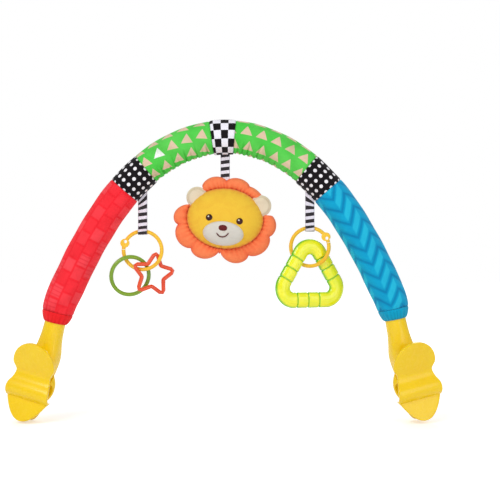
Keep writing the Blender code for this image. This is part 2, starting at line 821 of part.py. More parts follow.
def clip(side_name, along, lean, turn, hand):
    """One spring clip at an end of the arch."""
    end_point = bow_frame(along)[0]
    neck_frame = Matrix.Translation(end_point) @ Matrix.Rotation(lean, 4, "Y")
    place(spigot_mesh, side_name + "_swivel_spigot", (0.85, 0.85, 0.82), 0.5,
          parent=empty(side_name + "_spigot_frame", neck_frame))
    frame = empty(side_name + "_clip_swivel", neck_frame @ Matrix.Rotation(turn, 4, "Z"))
    for shell, mesh in shell_meshes.items():
        place(for_hand(mesh, hand), side_name + "_clip_" + shell, clip_yellow, 0.35,
              parent=frame)
    for number, mesh in screw_meshes.items():
        place(for_hand(mesh, hand), side_name + "_clip_screw_" + number, steel_grey, 0.35, 1.0,
              parent=frame)
    place(pin_mesh, side_name + "_clip_pin", steel_grey, 0.3, 1.0, parent=frame)
    place(spring_mesh, side_name + "_clip_spring", steel_grey, 0.35, 1.0, parent=frame)
    pivot = at_clip(0, pin_reach, pin_drop)
    lever_frame = empty(side_name + "_lever_pivot", Matrix.Translation(pivot), frame)
    lever = place(lever_mesh, side_name + "_clip_lever", clip_yellow, 0.35, parent=lever_frame)
    lever.location = -pivot
    return frame


clip("left", -arch_half_length, left_clip_lean, left_clip_turn, 1)
clip("right", right_half_length, -right_clip_lean, right_clip_turn, -1)


# Ribbons


def ribbon_anchor(along):
    """The sewn line under the sleeve: its middle, its direction and the way it faces."""
    point, tangent, outward = bow_frame(along)
    reach_out = sleeve_radius + seat_gap + ribbon_thickness / 2
    return point - outward * reach_out, tangent


def ribbon_shape(anchor, tangent, length, looped):
    """A flat doubled ribbon that hangs from its slanted sewn line, with or without a loop."""
    shape = bmesh.new()
    half = ribbon_thickness / 2
    slope = tangent.z / tangent.x
    bottom = -length if not looped else -length + ribbon_loop_radius
    rings = []
    for x in (-ribbon_half_width, ribbon_half_width):
        top = x * slope
        section = [(half * math.cos(a), top + half * math.sin(a))
                   for a in (0, math.pi / 3, 2 * math.pi / 3, math.pi)]
        section += [(-half, bottom), (half, bottom)]
        rings.append([shape.verts.new(anchor + Vector((x, y, z))) for y, z in section])
    bridge(shape, rings)
    if not looped:
        return shape
    wire = anchor + Vector((0, 0, -length))
    across = Vector((ribbon_half_width, 0, 0))
    outer = cylinder(ribbon_loop_radius + ribbon_loop_wall, wire - across, wire + across, 16)
    shape = combined(shape, outer, "UNION")
    overrun = Vector((ribbon_half_width + cut_overrun, 0, 0))
    tunnel = cylinder(ribbon_loop_radius, wire - overrun, wire + overrun, 16)
    return combined(shape, tunnel, "DIFFERENCE")


def ribbon(name, along, length, looped):
    """One ribbon and the point that the toy below it hangs from."""
    anchor, tangent = ribbon_anchor(along)
    frame = empty(name + "_swing", Matrix.Translation(anchor))
    shape = ribbon_shape(Vector((0, 0, 0)), tangent, length, looped)
    place(shape, name, (0.75, 0.75, 0.78), 0.8, parent=frame, smooth=False)
    return anchor + Vector((0, 0, -length))


left_wire_point = ribbon("left_ribbon", -side_ribbon_place, left_ribbon_length, True)
right_wire_point = ribbon("right_ribbon", side_ribbon_place, right_ribbon_length, True)
lion_point = ribbon("lion_ribbon", lion_ribbon_place, lion_ribbon_length, False)


# Rings and the other small toys


def ring_route(radius, count, start=0.0):
    """Points and outward directions round a circle in the XZ plane."""
    angles = [start + 2 * math.pi * step / count for step in range(count)]
    outward = [Vector((math.cos(a), 0, math.sin(a))) for a in angles]
    return [direction * radius for direction in outward], outward


def wire_loop(points, outward, wire_radius, sides=8, depth=None):
    """A closed wire in the XZ plane."""
    frames = [(direction, Vector((0, 1, 0))) for direction in outward]
    section = round_section(wire_radius, sides, depth)
    return swept(points, frames, lambda index: section, closed=True)


def link_shape(snap_angle):
    """A snap link: a wire ring with an eye disc, a hole in it and the slit where it opens."""
    points, outward = ring_route(link_radius, 40)
    shape = wire_loop(points, outward, link_wire_radius)
    towards = Vector((math.cos(snap_angle), 0, math.sin(snap_angle)))
    centre = towards * link_radius
    depth = Vector((0, eye_disc_half_thickness, 0))
    disc = cylinder(eye_disc_radius, centre - depth, centre + depth, 20)
    shape = combined(shape, disc, "UNION")
    onwards = Vector((-math.sin(snap_angle), 0, math.cos(snap_angle)))
    hole_centre = centre - onwards * eye_hole_offset
    through = Vector((0, eye_disc_half_thickness + cut_overrun, 0))
    hole = cylinder(eye_hole_radius, hole_centre - through, hole_centre + through, 12)
    shape = combined(shape, hole, "DIFFERENCE")
    below = 1 if math.cos(snap_angle) < 0 else -1
    slit_angle = snap_angle + below * (eye_disc_radius + link_wire_radius) / link_radius
    slit_centre = Vector((math.cos(slit_angle), 0, math.sin(slit_angle))) * link_radius
    slit = bmesh.new()
    size = link_wire_radius * 3
    matrix = (Matrix.Translation(slit_centre) @ Matrix.Rotation(-slit_angle, 4, "Y")
              @ Matrix.Diagonal((size, size, snap_slit, 1.0)))
    bmesh.ops.create_cube(slit, size=1.0, matrix=matrix)
    return combined(shape, slit, "DIFFERENCE")


def link(name, wire_point, turn, snap_angle):
    """A link ring that hangs in a ribbon's loop, and the frame at its centre."""
    frame = empty(name + "_swing", Matrix.Translation(wire_point))
    centre = empty(name + "_centre", Matrix.Translation((0, 0, -link_radius)), frame)
    centre.rotation_euler.z = turn
    place(link_shape(snap_angle), name, link_yellow, 0.35, parent=centre)
    return Matrix.Translation(wire_point - Vector((0, 0, link_radius)))


left_link_centre = link("left_link_ring", left_wire_point, 0.0, left_snap_angle)
right_link_centre = link("right_link_ring", right_wire_point, right_link_turn, right_snap_angle)


def green_ring():
    """The plain ring, tilted so that it passes in front of the link and then behind it."""
    centre = Vector((green_ring_centre[0], 0, green_ring_centre[1]))
    distance = centre.length
    chord_at = (link_radius ** 2 - green_ring_radius ** 2 + distance ** 2) / (2 * distance)
    half_chord = math.sqrt(link_radius ** 2 - chord_at ** 2)
    lean = math.atan2(green_ring_spread, half_chord)
    points, outward = ring_route(green_ring_radius, 36)
    shape = wire_loop(points, outward, green_wire_radius)
    axis = centre.normalized()
    frame = empty("green_ring_slide", left_link_centre)
    ring = place(shape, "green_ring", (0.22, 0.38, 0.03), 0.4, parent=frame)
    ring.matrix_local = Matrix.Translation(centre) @ Matrix.Rotation(-lean, 4, axis)
    return ring


green_ring()


def star_route():
    """Rounded five-pointed star: points and outward directions, in the XZ plane."""
    corners = []
    for step in range(10):
        radius = star_tip_radius if step % 2 == 0 else star_notch_radius
        angle = star_tip_angle - math.pi * step / 5
        corners.append(Vector((radius * math.cos(angle), 0, radius * math.sin(angle))))
    points = []
    outward = []
    for index, corner in enumerate(corners):
        before = (corners[index - 1] - corner).normalized()
        after = (corners[(index + 1) % 10] - corner).normalized()
        half_angle = before.angle(after) / 2
        cut = star_corner_radius / math.tan(half_angle)
        inward = (before + after).normalized()
        centre = corner + inward * (star_corner_radius / math.sin(half_angle))
        start = corner + before * cut - centre
        sweep = math.pi - 2 * half_angle
        tip = index % 2 == 0
        for share in (0.0, 0.5, 1.0):
            turn = Matrix.Rotation((sweep if tip else -sweep) * share, 4, "Y")
            arm = turn @ start
            points.append(centre + arm)
            outward.append(arm.normalized() if tip else -arm.normalized())
    return points, outward


def star():
    """The star, turned about the vertical so that the link passes behind it and before it."""
    points, outward = star_route()
    shape = wire_loop(points, outward, star_wire_radius)
    depth = (star_centre[0] - star_crossing_offset) * math.tan(star_turn)
    frame = empty("star_slide", left_link_centre)
    piece = place(shape, "orange_star", (0.80, 0.10, 0.03), 0.4, parent=frame)
    piece.matrix_local = (Matrix.Translation((star_centre[0], depth, star_centre[1]))
                          @ Matrix.Rotation(star_turn, 4, "Z"))
    return piece


star()


def teether_route():
    """Centreline of a rounded triangle with its outward directions and the run of each side."""
    centres = [Vector((0, 0, teether_apex_rise)),
               Vector((-teether_half_base, 0, teether_base_rise)),
               Vector((teether_half_base, 0, teether_base_rise))]
    normals = []
    for index in range(3):
        edge = centres[(index + 1) % 3] - centres[index]
        normals.append(Vector((edge.z, 0, -edge.x)).normalized())
    points = []
    outward = []
    depths = []
    arc_steps = 5
    for index, centre in enumerate(centres):
        start = normals[index - 1]
        sweep = start.angle(normals[index])
        for step in range(arc_steps + 1):
            direction = Matrix.Rotation(-sweep * step / arc_steps, 4, "Y") @ start
            points.append(centre + direction * teether_corner_radius)
            outward.append(direction)
            depths.append(0.0)
        middle = (centre + centres[(index + 1) % 3]) / 2 + normals[index] * teether_corner_radius
        along = (centres[(index + 1) % 3] - centre).normalized()
        for groove in (-1, 0, 1):
            for offset, depth in ((-groove_half_width * 2, 0.0), (0.0, groove_depth),
                                  (groove_half_width * 2, 0.0)):
                points.append(middle + along * (groove * groove_spacing + offset))
                outward.append(normals[index])
                depths.append(depth)
    return points, outward, depths


def teether():
    """The soft triangle, turned so that the link passes behind one shoulder and before the other."""
    points, outward, depths = teether_route()
    frames = [(direction, Vector((0, 1, 0))) for direction in outward]
    shape = swept(points, frames,
                  lambda index: round_section(teether_tube_radius - depths[index], 12,
                                              teether_half_depth - depths[index]), closed=True)
    frame = empty("teether_slide", right_link_centre)
    piece = place(shape, "teether", (0.80, 0.90, 0.03), 0.35, parent=frame)
    piece.matrix_local = Matrix.Rotation(teether_turn, 4, "Z")
    return piece


teether()


# The lion's head


def crown_share(share):
    """Height of a cushion as a share of its full depth, at a share of its half width."""
    return max(0.0, 1 - share ** 2) ** face_fullness


def dome(half_width, half_height, depth, direction):
    """A stuffed half cushion: an oval base on the mane and a full crown towards -Y or +Y."""
    shape = bmesh.new()
    segments = 32
    base = direction * (mane_half_thickness + seat_gap)
    rings = []
    for share in (1.0, 0.985, 0.94, 0.86, 0.73, 0.56, 0.36, 0.17):
        ring = []
        for step in range(segments):
            angle = 2 * math.pi * step / segments
            x = half_width * share * math.cos(angle)
            z = half_height * share * math.sin(angle)
            ring.append(shape.verts.new((x, base + direction * depth * crown_share(share), z)))
        rings.append(ring)
    bridge_to_point(shape, rings, (0, base + direction * depth, 0))
    bmesh.ops.rotate(shape, verts=shape.verts, cent=(0, 0, 0),
                     matrix=Matrix.Rotation(-lion_tilt, 3, "Y"))
    return shape


def bridge_to_point(shape, rings, tip):
    """Faces between rings, a flat cap on the first and a fan from the last to a point."""
    for low, high in zip(rings, rings[1:]):
        for step in range(len(low)):
            after = (step + 1) % len(low)
            shape.faces.new((low[step], low[after], high[after], high[step]))
    shape.faces.new(list(reversed(rings[0])))
    point = shape.verts.new(tip)
    last = rings[-1]
    for step in range(len(last)):
        shape.faces.new((last[step], last[(step + 1) % len(last)], point))


def face_height(x, z):
    """How far the face's surface stands in front of the mane's middle at a point."""
    c, s = math.cos(-lion_tilt), math.sin(-lion_tilt)
    u = (c * x - s * z) / face_half_width
    v = (s * x + c * z) / face_half_height
    return mane_half_thickness + seat_gap + face_depth * crown_share(math.hypot(u, v))


def muzzle_height(x, z):
    """How far the muzzle's surface stands in front of the mane's middle at a point."""
    u = (x - muzzle_centre[0]) / muzzle_half_width
    v = (z - muzzle_centre[1]) / muzzle_half_height
    rise = patch_edge + muzzle_proud * math.sqrt(max(0.0, 1 - u * u - v * v))
    return face_height(x, z) + patch_gap + rise


def patch(centre, outline, ground, proud):
    """A soft patch on a curved ground: its back follows the ground, its front bulges."""
    shape = bmesh.new()
    shares = (1.0, 0.9, 0.72, 0.5, 0.25)
    back = []
    front = []
    for share in shares:
        back_ring = []
        front_ring = []
        for dx, dz in outline:
            x, z = centre[0] + dx * share, centre[1] + dz * share
            low = ground(x, z) + patch_gap
            high = low + patch_edge + proud * math.sqrt(1 - share ** 2)
            back_ring.append(shape.verts.new((x, -low, z)))
            front_ring.append(shape.verts.new((x, -high, z)))
        back.append(back_ring)
        front.append(front_ring)
    rings = list(reversed(back)) + front
    bridge_low = ground(*centre) + patch_gap
    bottom = shape.verts.new((centre[0], -bridge_low, centre[1]))
    top = shape.verts.new((centre[0], -bridge_low - patch_edge - proud, centre[1]))
    for low, high in zip(rings, rings[1:]):
        for step in range(len(low)):
            after = (step + 1) % len(low)
            shape.faces.new((low[step], low[after], high[after], high[step]))
    for ring, point in ((rings[0], bottom), (rings[-1], top)):
        for step in range(len(ring)):
            shape.faces.new((ring[step], ring[(step + 1) % len(ring)], point))
    return shape


def oval_outline(half_width, half_height, count):
    """Points of an oval about its centre."""
    angles = [2 * math.pi * step / count for step in range(count)]
    return [(half_width * math.cos(a), half_height * math.sin(a)) for a in angles]


def mane_rim(degrees, inner_radius):
    """Radius of the mane's scalloped rim at an angle, and how stuffed its lobe is there."""
    for low, high, start, end, bulge in mane_lobes:
        here = degrees if degrees >= low else degrees + 360.0
        if low <= here <= high:
            share = (here - low) / (high - low)
            swell = math.sin(math.pi * share) ** 0.6
            radius = start + (end - start) * share + bulge * swell
            return max(radius, inner_radius + mane_least_rim), swell
    return max(mane_valley_radius, inner_radius + mane_least_rim), 0.0


def mane_shape():
    """The scalloped ruff: eight stuffed lobes round a flat middle, with room for the ears."""
    shape = bmesh.new()
    segments = 80
    rim_shares = ((0.0, 0.0, 1.0), (0.3, 0.9, 1.0), (0.7, 1.0, 0.9), (1.0, 0.0, 0.0))
    front = []
    back = []
    for run, bulge, flat in rim_shares:
        front_ring = []
        back_ring = []
        for step in range(segments):
            degrees = 360.0 * step / segments
            angle = math.radians(degrees)
            oval = 1 / math.hypot(math.cos(angle - lion_tilt) / face_half_width,
                                  math.sin(angle - lion_tilt) / face_half_height)
            inner = oval * mane_inner_share
            rim, swell = mane_rim(degrees, inner)
            radius = inner + (rim - inner) * run
            half = mane_half_thickness * flat + mane_lobe_bulge * bulge * swell
            x, z = radius * math.cos(angle), radius * math.sin(angle)
            front_ring.append(shape.verts.new((x, -half, z)))
            if flat > 0:
                back_ring.append(shape.verts.new((x, half, z)))
        front.append(front_ring)
        back.append(back_ring)
    rings = front + list(reversed(back[:-1]))
    bridge(shape, rings)
    for centre in (left_ear_centre, right_ear_centre):
        reach = ear_ball_radius
        cutter = cylinder(ear_ball_radius + seat_gap, (centre[0], -reach, centre[1]),
                          (centre[0], reach, centre[1]), 20)
        shape = combined(shape, cutter, "DIFFERENCE")
    return shape


def ear_shape(centre):
    """A soft ear beside the face, cut back where the face cushion covers it."""
    shape = ball((centre[0], 0, centre[1]),
                 (ear_ball_radius, ear_ball_half_thickness, ear_ball_radius), 16, 10)
    cover = bmesh.new()
    reach = ear_ball_half_thickness * 2
    segments = 36
    rings = []
    for y in (-reach, reach):
        rings.append([cover.verts.new((
            (face_half_width + seat_gap) * math.cos(2 * math.pi * step / segments), y,
            (face_half_height + seat_gap) * math.sin(2 * math.pi * step / segments)))
            for step in range(segments)])
    bridge(cover, rings)
    bmesh.ops.rotate(cover, verts=cover.verts, cent=(0, 0, 0),
                     matrix=Matrix.Rotation(-lion_tilt, 3, "Y"))
    return combined(shape, cover, "DIFFERENCE")


def lion():
    """The head hangs from its ribbon by its crown."""
    hinge = empty("lion_nod", Matrix.Translation(lion_point))
    centre = empty("lion_centre", Matrix.Translation((0, 0, -lion_drop_to_centre)), hinge)
    place(mane_shape(), "lion_mane", (0.95, 0.20, 0.07), 0.9, parent=centre)
    place(dome(face_half_width, face_half_height, face_depth, -1), "lion_face",
          (0.92, 0.55, 0.06), 0.9, parent=centre)
    place(dome(back_half_width, back_half_height, back_depth, 1), "lion_back",
          (0.95, 0.20, 0.07), 0.9, parent=centre)
    place(ear_shape(left_ear_centre), "lion_left_ear", (0.70, 0.63, 0.52), 0.9, parent=centre)
    place(ear_shape(right_ear_centre), "lion_right_ear", (0.70, 0.63, 0.52), 0.9, parent=centre)
    muzzle = patch(muzzle_centre, oval_outline(muzzle_half_width, muzzle_half_height, 24),
                   face_height, muzzle_proud)
    place(muzzle, "lion_muzzle", (0.70, 0.63, 0.52), 0.9, parent=centre)
    nose_outline_points = [(nose_half_width * x, nose_half_height * z)
                           for x, z in nose_outline_shares]
    nose = patch(nose_centre, nose_outline_points, muzzle_height, nose_proud)
    place(nose, "lion_nose", (0.16, 0.01, 0.02), 0.6, parent=centre)
    for side, eye_centre in eye_centres.items():
        eye = patch(eye_centre, oval_outline(eye_dot_radius, eye_dot_radius, 12),
                    face_height, eye_dot_proud)
        place(eye, "lion_" + side + "_eye", (0.05, 0.01, 0.01), 0.2, parent=centre)


lion()
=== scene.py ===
import json
import math

import bmesh
import bpy
import numpy as np
from mathutils import Matrix, Vector


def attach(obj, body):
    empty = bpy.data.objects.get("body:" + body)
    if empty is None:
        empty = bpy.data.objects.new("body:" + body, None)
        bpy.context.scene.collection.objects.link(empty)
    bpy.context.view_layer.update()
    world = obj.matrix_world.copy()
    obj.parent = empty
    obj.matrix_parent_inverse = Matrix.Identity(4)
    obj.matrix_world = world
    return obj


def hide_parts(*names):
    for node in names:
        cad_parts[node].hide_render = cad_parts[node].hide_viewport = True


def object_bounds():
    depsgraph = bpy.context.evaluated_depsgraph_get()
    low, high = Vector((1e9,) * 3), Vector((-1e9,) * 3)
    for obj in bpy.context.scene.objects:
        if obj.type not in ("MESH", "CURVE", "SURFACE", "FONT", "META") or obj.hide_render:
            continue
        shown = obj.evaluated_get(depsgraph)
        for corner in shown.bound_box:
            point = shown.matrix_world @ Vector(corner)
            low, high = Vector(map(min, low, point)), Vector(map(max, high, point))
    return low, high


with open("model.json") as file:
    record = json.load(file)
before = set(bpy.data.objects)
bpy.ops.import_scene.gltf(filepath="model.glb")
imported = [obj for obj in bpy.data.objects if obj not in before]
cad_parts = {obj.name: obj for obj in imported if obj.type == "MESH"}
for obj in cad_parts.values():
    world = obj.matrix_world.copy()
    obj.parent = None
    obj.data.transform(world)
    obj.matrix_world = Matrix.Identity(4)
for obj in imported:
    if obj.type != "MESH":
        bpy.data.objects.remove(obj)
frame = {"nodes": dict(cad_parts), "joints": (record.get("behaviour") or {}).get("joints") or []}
cad_box = [list(corner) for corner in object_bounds()]


# The core rod: a plastic rod, bent cold into the padding, that gives the arch its bow. It is
# extruded from white nylon, with a moulded swivel spigot of nylon glued on each end. The foam
# and the clips hide all three, so their CAD solids stay.

arch_half_length = 0.3088
arch_straight_end = 0.012
arch_turn = math.radians(65.34)
arch_turn_power = 2.275
end_bend_length = 0.025
left_clip_lean, right_clip_lean = math.radians(14.0), math.radians(11.8)
right_end_short = 0.0025
right_half_length = arch_half_length - right_end_short
arch_plane = 0.012
bow_length = np.linspace(0.0, arch_half_length, 401)


def bow_table(lean, end_short):
    """How far out and how far down the bow runs on one side, and its slope, for each length."""
    curved = arch_half_length - arch_straight_end
    late = np.clip((bow_length - curved + end_short + end_bend_length) / end_bend_length, 0, 1)
    slope = (arch_turn * (1 - (1 - np.clip(bow_length / curved, 0, 1)) ** arch_turn_power)
             + (math.pi / 2 - lean - arch_turn) * late ** 2 * (3 - 2 * late))
    middle, step = (slope[1:] + slope[:-1]) / 2, arch_half_length / 400
    return (np.concatenate([[0.0], np.cumsum(np.cos(middle)) * step]),
            np.concatenate([[0.0], np.cumsum(np.sin(middle)) * step]), slope)


left_bow = bow_table(left_clip_lean, 0.0)
right_bow = bow_table(right_clip_lean, right_end_short)
arch_top_height = 0.078 * math.cos(left_clip_lean) + float(left_bow[1][-1])


def along_bow(along):
    """Points, tangents and outward directions at lengths from the arch's top, left negative."""
    along = np.asarray(along, float)
    out, drop, slope = (np.where(along < 0, np.interp(abs(along), bow_length, left),
                                 np.interp(abs(along), bow_length, right))
                        for left, right in zip(left_bow, right_bow))
    side = np.where(along < 0, -1.0, 1.0)
    angle = slope * side
    flat = np.zeros_like(angle)
    points = np.stack([out * side, flat + arch_plane, arch_top_height - drop], -1)
    tangents = np.stack([np.cos(angle), flat, -np.sin(angle)], -1)
    outwards = np.stack([np.sin(angle), flat, np.cos(angle)], -1)
    return points, tangents, outwards


def colour(red, green, blue):
    """A screen colour, 0 to 255, as the linear values that a shader takes."""
    linear = [(c / 255 / 12.92) if c <= 10 else ((c / 255 + 0.055) / 1.055) ** 2.4
              for c in (red, green, blue)]
    return (*linear, 1.0)


def feed(tree, node, inputs):
    """Give each named input a value or another node's output."""
    for key, value in inputs.items():
        if isinstance(value, bpy.types.NodeSocket):
            tree.links.new(value, node.inputs[key])
        else:
            node.inputs[key].default_value = value
    return node


def add(tree, kind, inputs=None, **settings):
    """One shader node with its settings and inputs."""
    node = tree.nodes.new("ShaderNode" + kind)
    for key, value in settings.items():
        setattr(node, key, value)
    return feed(tree, node, inputs or {})


def calc(tree, operation, *values):
    """One step of arithmetic between outputs and numbers."""
    return add(tree, "Math", dict(enumerate(values)), operation=operation).outputs[0]


def blend_colours(tree, share, first, second):
    """From the first colour to the second as the share goes from 0 to 1."""
    mixer = add(tree, "Mix", {"Factor": share, "A": first, "B": second}, data_type="RGBA")
    return mixer.outputs["Result"]


def between(tree, value, low, high):
    """0 below low, 1 above high and smooth in between."""
    ramp = add(tree, "MapRange", {"Value": value, "From Min": low, "From Max": high},
               interpolation_type="SMOOTHSTEP")
    return ramp.outputs["Result"]


def new_material(name):
    """An empty material, its node tree and its Principled shader."""
    material = bpy.data.materials.new(name)
    material.use_nodes = True
    tree = material.node_tree
    return material, tree, tree.nodes["Principled BSDF"]


def place_of(tree):
    """Where a point of the surface lies in the scene."""
    return add(tree, "TexCoord").outputs["Object"]


def noise(tree, place, scale, detail=2.0, distortion=0.0):
    """Cloudy unevenness with that many clouds in a metre."""
    return add(tree, "TexNoise", {"Vector": place, "Scale": scale, "Detail": detail,
                                  "Distortion": distortion}).outputs["Fac"]


def bumps(tree, height, strength, depth):
    """The way a surface faces once it has bumps of that height."""
    return add(tree, "Bump", {"Height": height, "Strength": strength,
                              "Distance": depth}).outputs["Normal"]


def moulded_plastic(name, base, deep, roughness=0.3, coat=0.0, glow=0.0):
    """Injection-moulded plastic: faint flow marks in its colour, fine texture and scuffs."""
    material, tree, shader = new_material(name)
    place = place_of(tree)
    flow, texture = noise(tree, place, 38.0, 3.0), noise(tree, place, 900.0)
    scuffs = between(tree, noise(tree, place, 210.0, 4.0, 0.6), 0.45, 0.75)
    feed(tree, shader, {
        "Base Color": blend_colours(tree, between(tree, flow, 0.3, 0.75), base, deep),
        "Roughness": calc(tree, "MULTIPLY_ADD", scuffs, 0.06, roughness),
        "Normal": bumps(tree, calc(tree, "MULTIPLY_ADD", texture, 0.35, flow), 0.06, 0.0003),
        "Specular IOR Level": 0.3, "Coat Weight": coat, "Coat Roughness": 0.12,
        "Subsurface Weight": glow, "Subsurface Scale": 0.003,
        "Subsurface Radius": (1.0, 0.6, 0.25)})
    return material


def dress(node, material):
    """Give a CAD solid that stays visible its finished material."""
    solid = frame["nodes"][node]
    solid.data.materials.clear()
    solid.data.materials.append(material)


white_nylon = moulded_plastic("white_nylon", colour(238, 236, 228), colour(226, 223, 212), 0.42)
dress("core_rod", white_nylon)
for side in ("left", "right"):
    dress(side + "_swivel_spigot", white_nylon)


# The foam padding: a tube of open-cell foam that is slit, closed round the rod and glued.
# It fills the sleeves and stops short of the swivel spigots at both ends.

foam_half_length = 0.2608
foam_radius = 0.0162
foam_bore = 0.0045
foam_slit_depth, foam_unevenness, foam_end_round = 0.0009, 0.00015, 0.0012


def turns_round(count):
    """Angles once round, in that many even steps."""
    return np.arange(count) * 2 * math.pi / count


def placed(name, data):
    """A new object in the scene that holds this mesh, lamp or camera."""
    holder = bpy.data.objects.new(name, data)
    bpy.context.scene.collection.objects.link(holder)
    return holder


def skin(name, rings, cloth_map=None, ends="capped", painted_shades=None):
    """A closed mesh over rings of points. The cloth map gives metres across each corner; the
    ends are capped, or joined where the last ring runs back to the first."""
    rings = np.asarray(rings, float)
    rows, around = rings.shape[:2]
    lower, step = np.meshgrid(np.arange(rows if ends == "joined" else rows - 1),
                              np.arange(around), indexing="ij")
    upper = (lower + 1) % rows
    after = (step + 1) % around
    quads = np.stack([lower * around + step, lower * around + after,
                      upper * around + after, upper * around + step], -1).reshape(-1, 4)
    faces = quads.tolist()
    if ends == "capped":
        faces.append(list(reversed(range(around))))
        faces.append([(rows - 1) * around + index for index in range(around)])
    mesh = bpy.data.meshes.new(name)
    mesh.from_pydata(rings.reshape(-1, 3).tolist(), [], faces)
    if cloth_map is not None:
        cloth_map = np.asarray(cloth_map, float)
        corners = np.stack([cloth_map[lower, step], cloth_map[lower, step + 1],
                            cloth_map[upper, step + 1], cloth_map[upper, step]], 2)
        flat = corners.reshape(-1, 2)
        if ends == "capped":
            flat = np.concatenate([flat, np.zeros((2 * around, 2))])
        layer = mesh.uv_layers.new(name="cloth")
        layer.data.foreach_set("uv", flat.astype(np.float32).ravel())
    # Painted shade: how much darker each point's colour is drawn, from 0 to 1.
    if painted_shades is not None:
        shade = mesh.attributes.new("painted_shade", "FLOAT", "POINT")
        shade.data.foreach_set("value", np.asarray(painted_shades, np.float32).ravel())
    mesh.shade_smooth()
    return outward_faces(placed(name, mesh))


def outward_faces(piece):
    """Turn the piece's faces outwards."""
    shape = bmesh.new()
    shape.from_mesh(piece.data)
    bmesh.ops.recalc_face_normals(shape, faces=shape.faces)
    if shape.calc_volume(signed=True) < 0:
        bmesh.ops.reverse_faces(shape, faces=shape.faces)
    shape.to_mesh(piece.data)
    shape.free()
    return piece


def tube_points(along, radius, angles):
    """Rings of the arch's tube: a radius for each length and angle, 0 at the front."""
    points, _, outwards = along_bow(along)
    front = np.array([0.0, -1.0, 0.0])
    ring = (np.cos(angles)[None, :, None] * front
            + np.sin(angles)[None, :, None] * outwards[:, None, :])
    return points[:, None, :] + ring * np.asarray(radius)[..., None]


def open_foam():
    """Cream polyurethane foam: open cells and a little yellowing."""
    material, tree, shader = new_material("open_foam")
    place = place_of(tree)
    cells = add(tree, "TexVoronoi", {"Vector": place, "Scale": 700.0}).outputs["Distance"]
    age = between(tree, noise(tree, place, 25.0), 0.35, 0.7)
    feed(tree, shader, {
        "Base Color": blend_colours(tree, age, colour(240, 236, 218), colour(228, 218, 186)),
        "Normal": bumps(tree, cells, 0.5, 0.0006), "Roughness": 0.95})
    return material


def fit(piece, material, body, node):
    """Finish a piece and fix it to its body in place of its CAD solid."""
    piece.data.materials.append(material)
    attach(piece, body)
    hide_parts(node)


foam_along = np.linspace(-foam_half_length, foam_half_length, 110)
foam_angles = turns_round(48)
foam_slit = foam_slit_depth * np.exp(-((np.sin(foam_angles / 2 + math.pi / 4)) / 0.06) ** 2)
foam_outer = np.tile(foam_radius - foam_slit, (110, 1))
foam_outer += foam_unevenness * np.sin(foam_along[:, None] * 310
                                       + 3 * np.sin(foam_angles * 2)[None, :])
foam_outer[[0, -1]] -= foam_end_round
foam_rings = np.concatenate([
    tube_points(foam_along, foam_outer, foam_angles),
    tube_points(foam_along[::-1], np.full((110, 48), foam_bore), foam_angles)])
foam = skin("foam_tube", foam_rings, ends="joined")
fit(foam, open_foam(), "arch", "foam_padding")


# The printed sleeves of the arch: two green ones with triangles, two dotted ones and the
# checkered band at the top. Each is printed polyester with a thin wadding, sewn into a tube
# whose seam lies inside the bow, where the spare cloth of the curve gathers in short folds.

sleeve_radius = 0.0195
sleeve_wall = 0.0016
seam_angle = math.radians(-104.0)
around_count = 144
seam_gap = 0.00006
seam_dip = 0.0006
seam_reach = 0.0022
seam_line_dip, seam_line_turn, pull_turn = 0.0007, 0.045, 0.5
deep_fold = 0.0009
cloth_step, lining_step = 0.0009, 0.004
checker_start, checker_end = -0.0166, 0.0098
triangle_end, dots_end = 0.1010, 0.1360


def sleeve_angles():
    """Angles round the tube from its lengthwise seam, once round."""
    return seam_angle + np.arange(around_count + 1) * 2 * math.pi / around_count


def gathers(along, angles, folds):
    """Depth of short folds that run up from the lengthwise seam; each fold has its place,
    depth, width, run up the front and lean."""
    from_seam_front = angles - seam_angle
    from_seam_back = seam_angle + 2 * math.pi - angles
    depth = np.zeros((len(along), len(angles)))
    for place, deep, width, run, lean in folds:
        for away, reach in ((from_seam_front, run), (from_seam_back, run * 0.7)):
            fade = np.clip(1 - away / reach, 0.0, 1.0) ** 0.8
            line = (along[:, None] - place - lean * away[None, :]) / width
            depth += deep * fade[None, :] * (np.exp(-line ** 2)
                                             - 0.45 * np.exp(-((abs(line) - 1.9) / 0.9) ** 2))
    return depth


def cloth_tube(name, start, end, outer_radius, wall, relief, pull=0.0):
    """A sewn sleeve section: fine cloth outside, its ends turned in at the seams, and the
    lining inside. Relief is how deep the folds go at each length and angle, and pull how
    far the lengthwise seam is drawn in."""
    start, end = start + seam_gap, end - seam_gap
    count = max(12, round((end - start) / cloth_step))
    along = np.linspace(start, end, count + 1)
    angles = sleeve_angles()
    depth = relief(along, angles[:-1])
    radius = outer_radius(along)[:, None] - depth
    from_end = np.minimum(along - start, end - along)
    turned = np.clip(1 - from_end / seam_reach, 0.0, 1.0) ** 2 * seam_dip
    radius -= turned[:, None]
    lengthwise = np.minimum(angles[:-1] - seam_angle, seam_angle + 2 * math.pi - angles[:-1])
    radius -= seam_line_dip * np.exp(-(lengthwise / seam_line_turn) ** 2)[None, :]
    radius -= pull * np.exp(-(lengthwise / pull_turn) ** 2)[None, :]
    outer = tube_points(along, radius, angles[:-1])
    lining_along = np.linspace(end, start, max(5, round((end - start) / lining_step)))
    lining = np.repeat((outer_radius(lining_along) - wall)[:, None], around_count, 1)
    rings = np.concatenate([outer, tube_points(lining_along, lining, angles[:-1])])
    every_along = np.concatenate([along, lining_along])
    cloth_map = np.stack(np.meshgrid(every_along, angles * sleeve_radius, indexing="ij"), -1)
    # Painted shade: darker where the folds go deep and where the ends turn in at the seams.
    painted_shades = np.zeros(rings.shape[:2])
    painted_shades[:len(along)] = np.clip(depth / deep_fold, 0.0, 1.0) + 0.5 * turned[:, None] / seam_dip
    return skin(name, rings, cloth_map, "joined", np.clip(painted_shades, 0.0, 1.0))


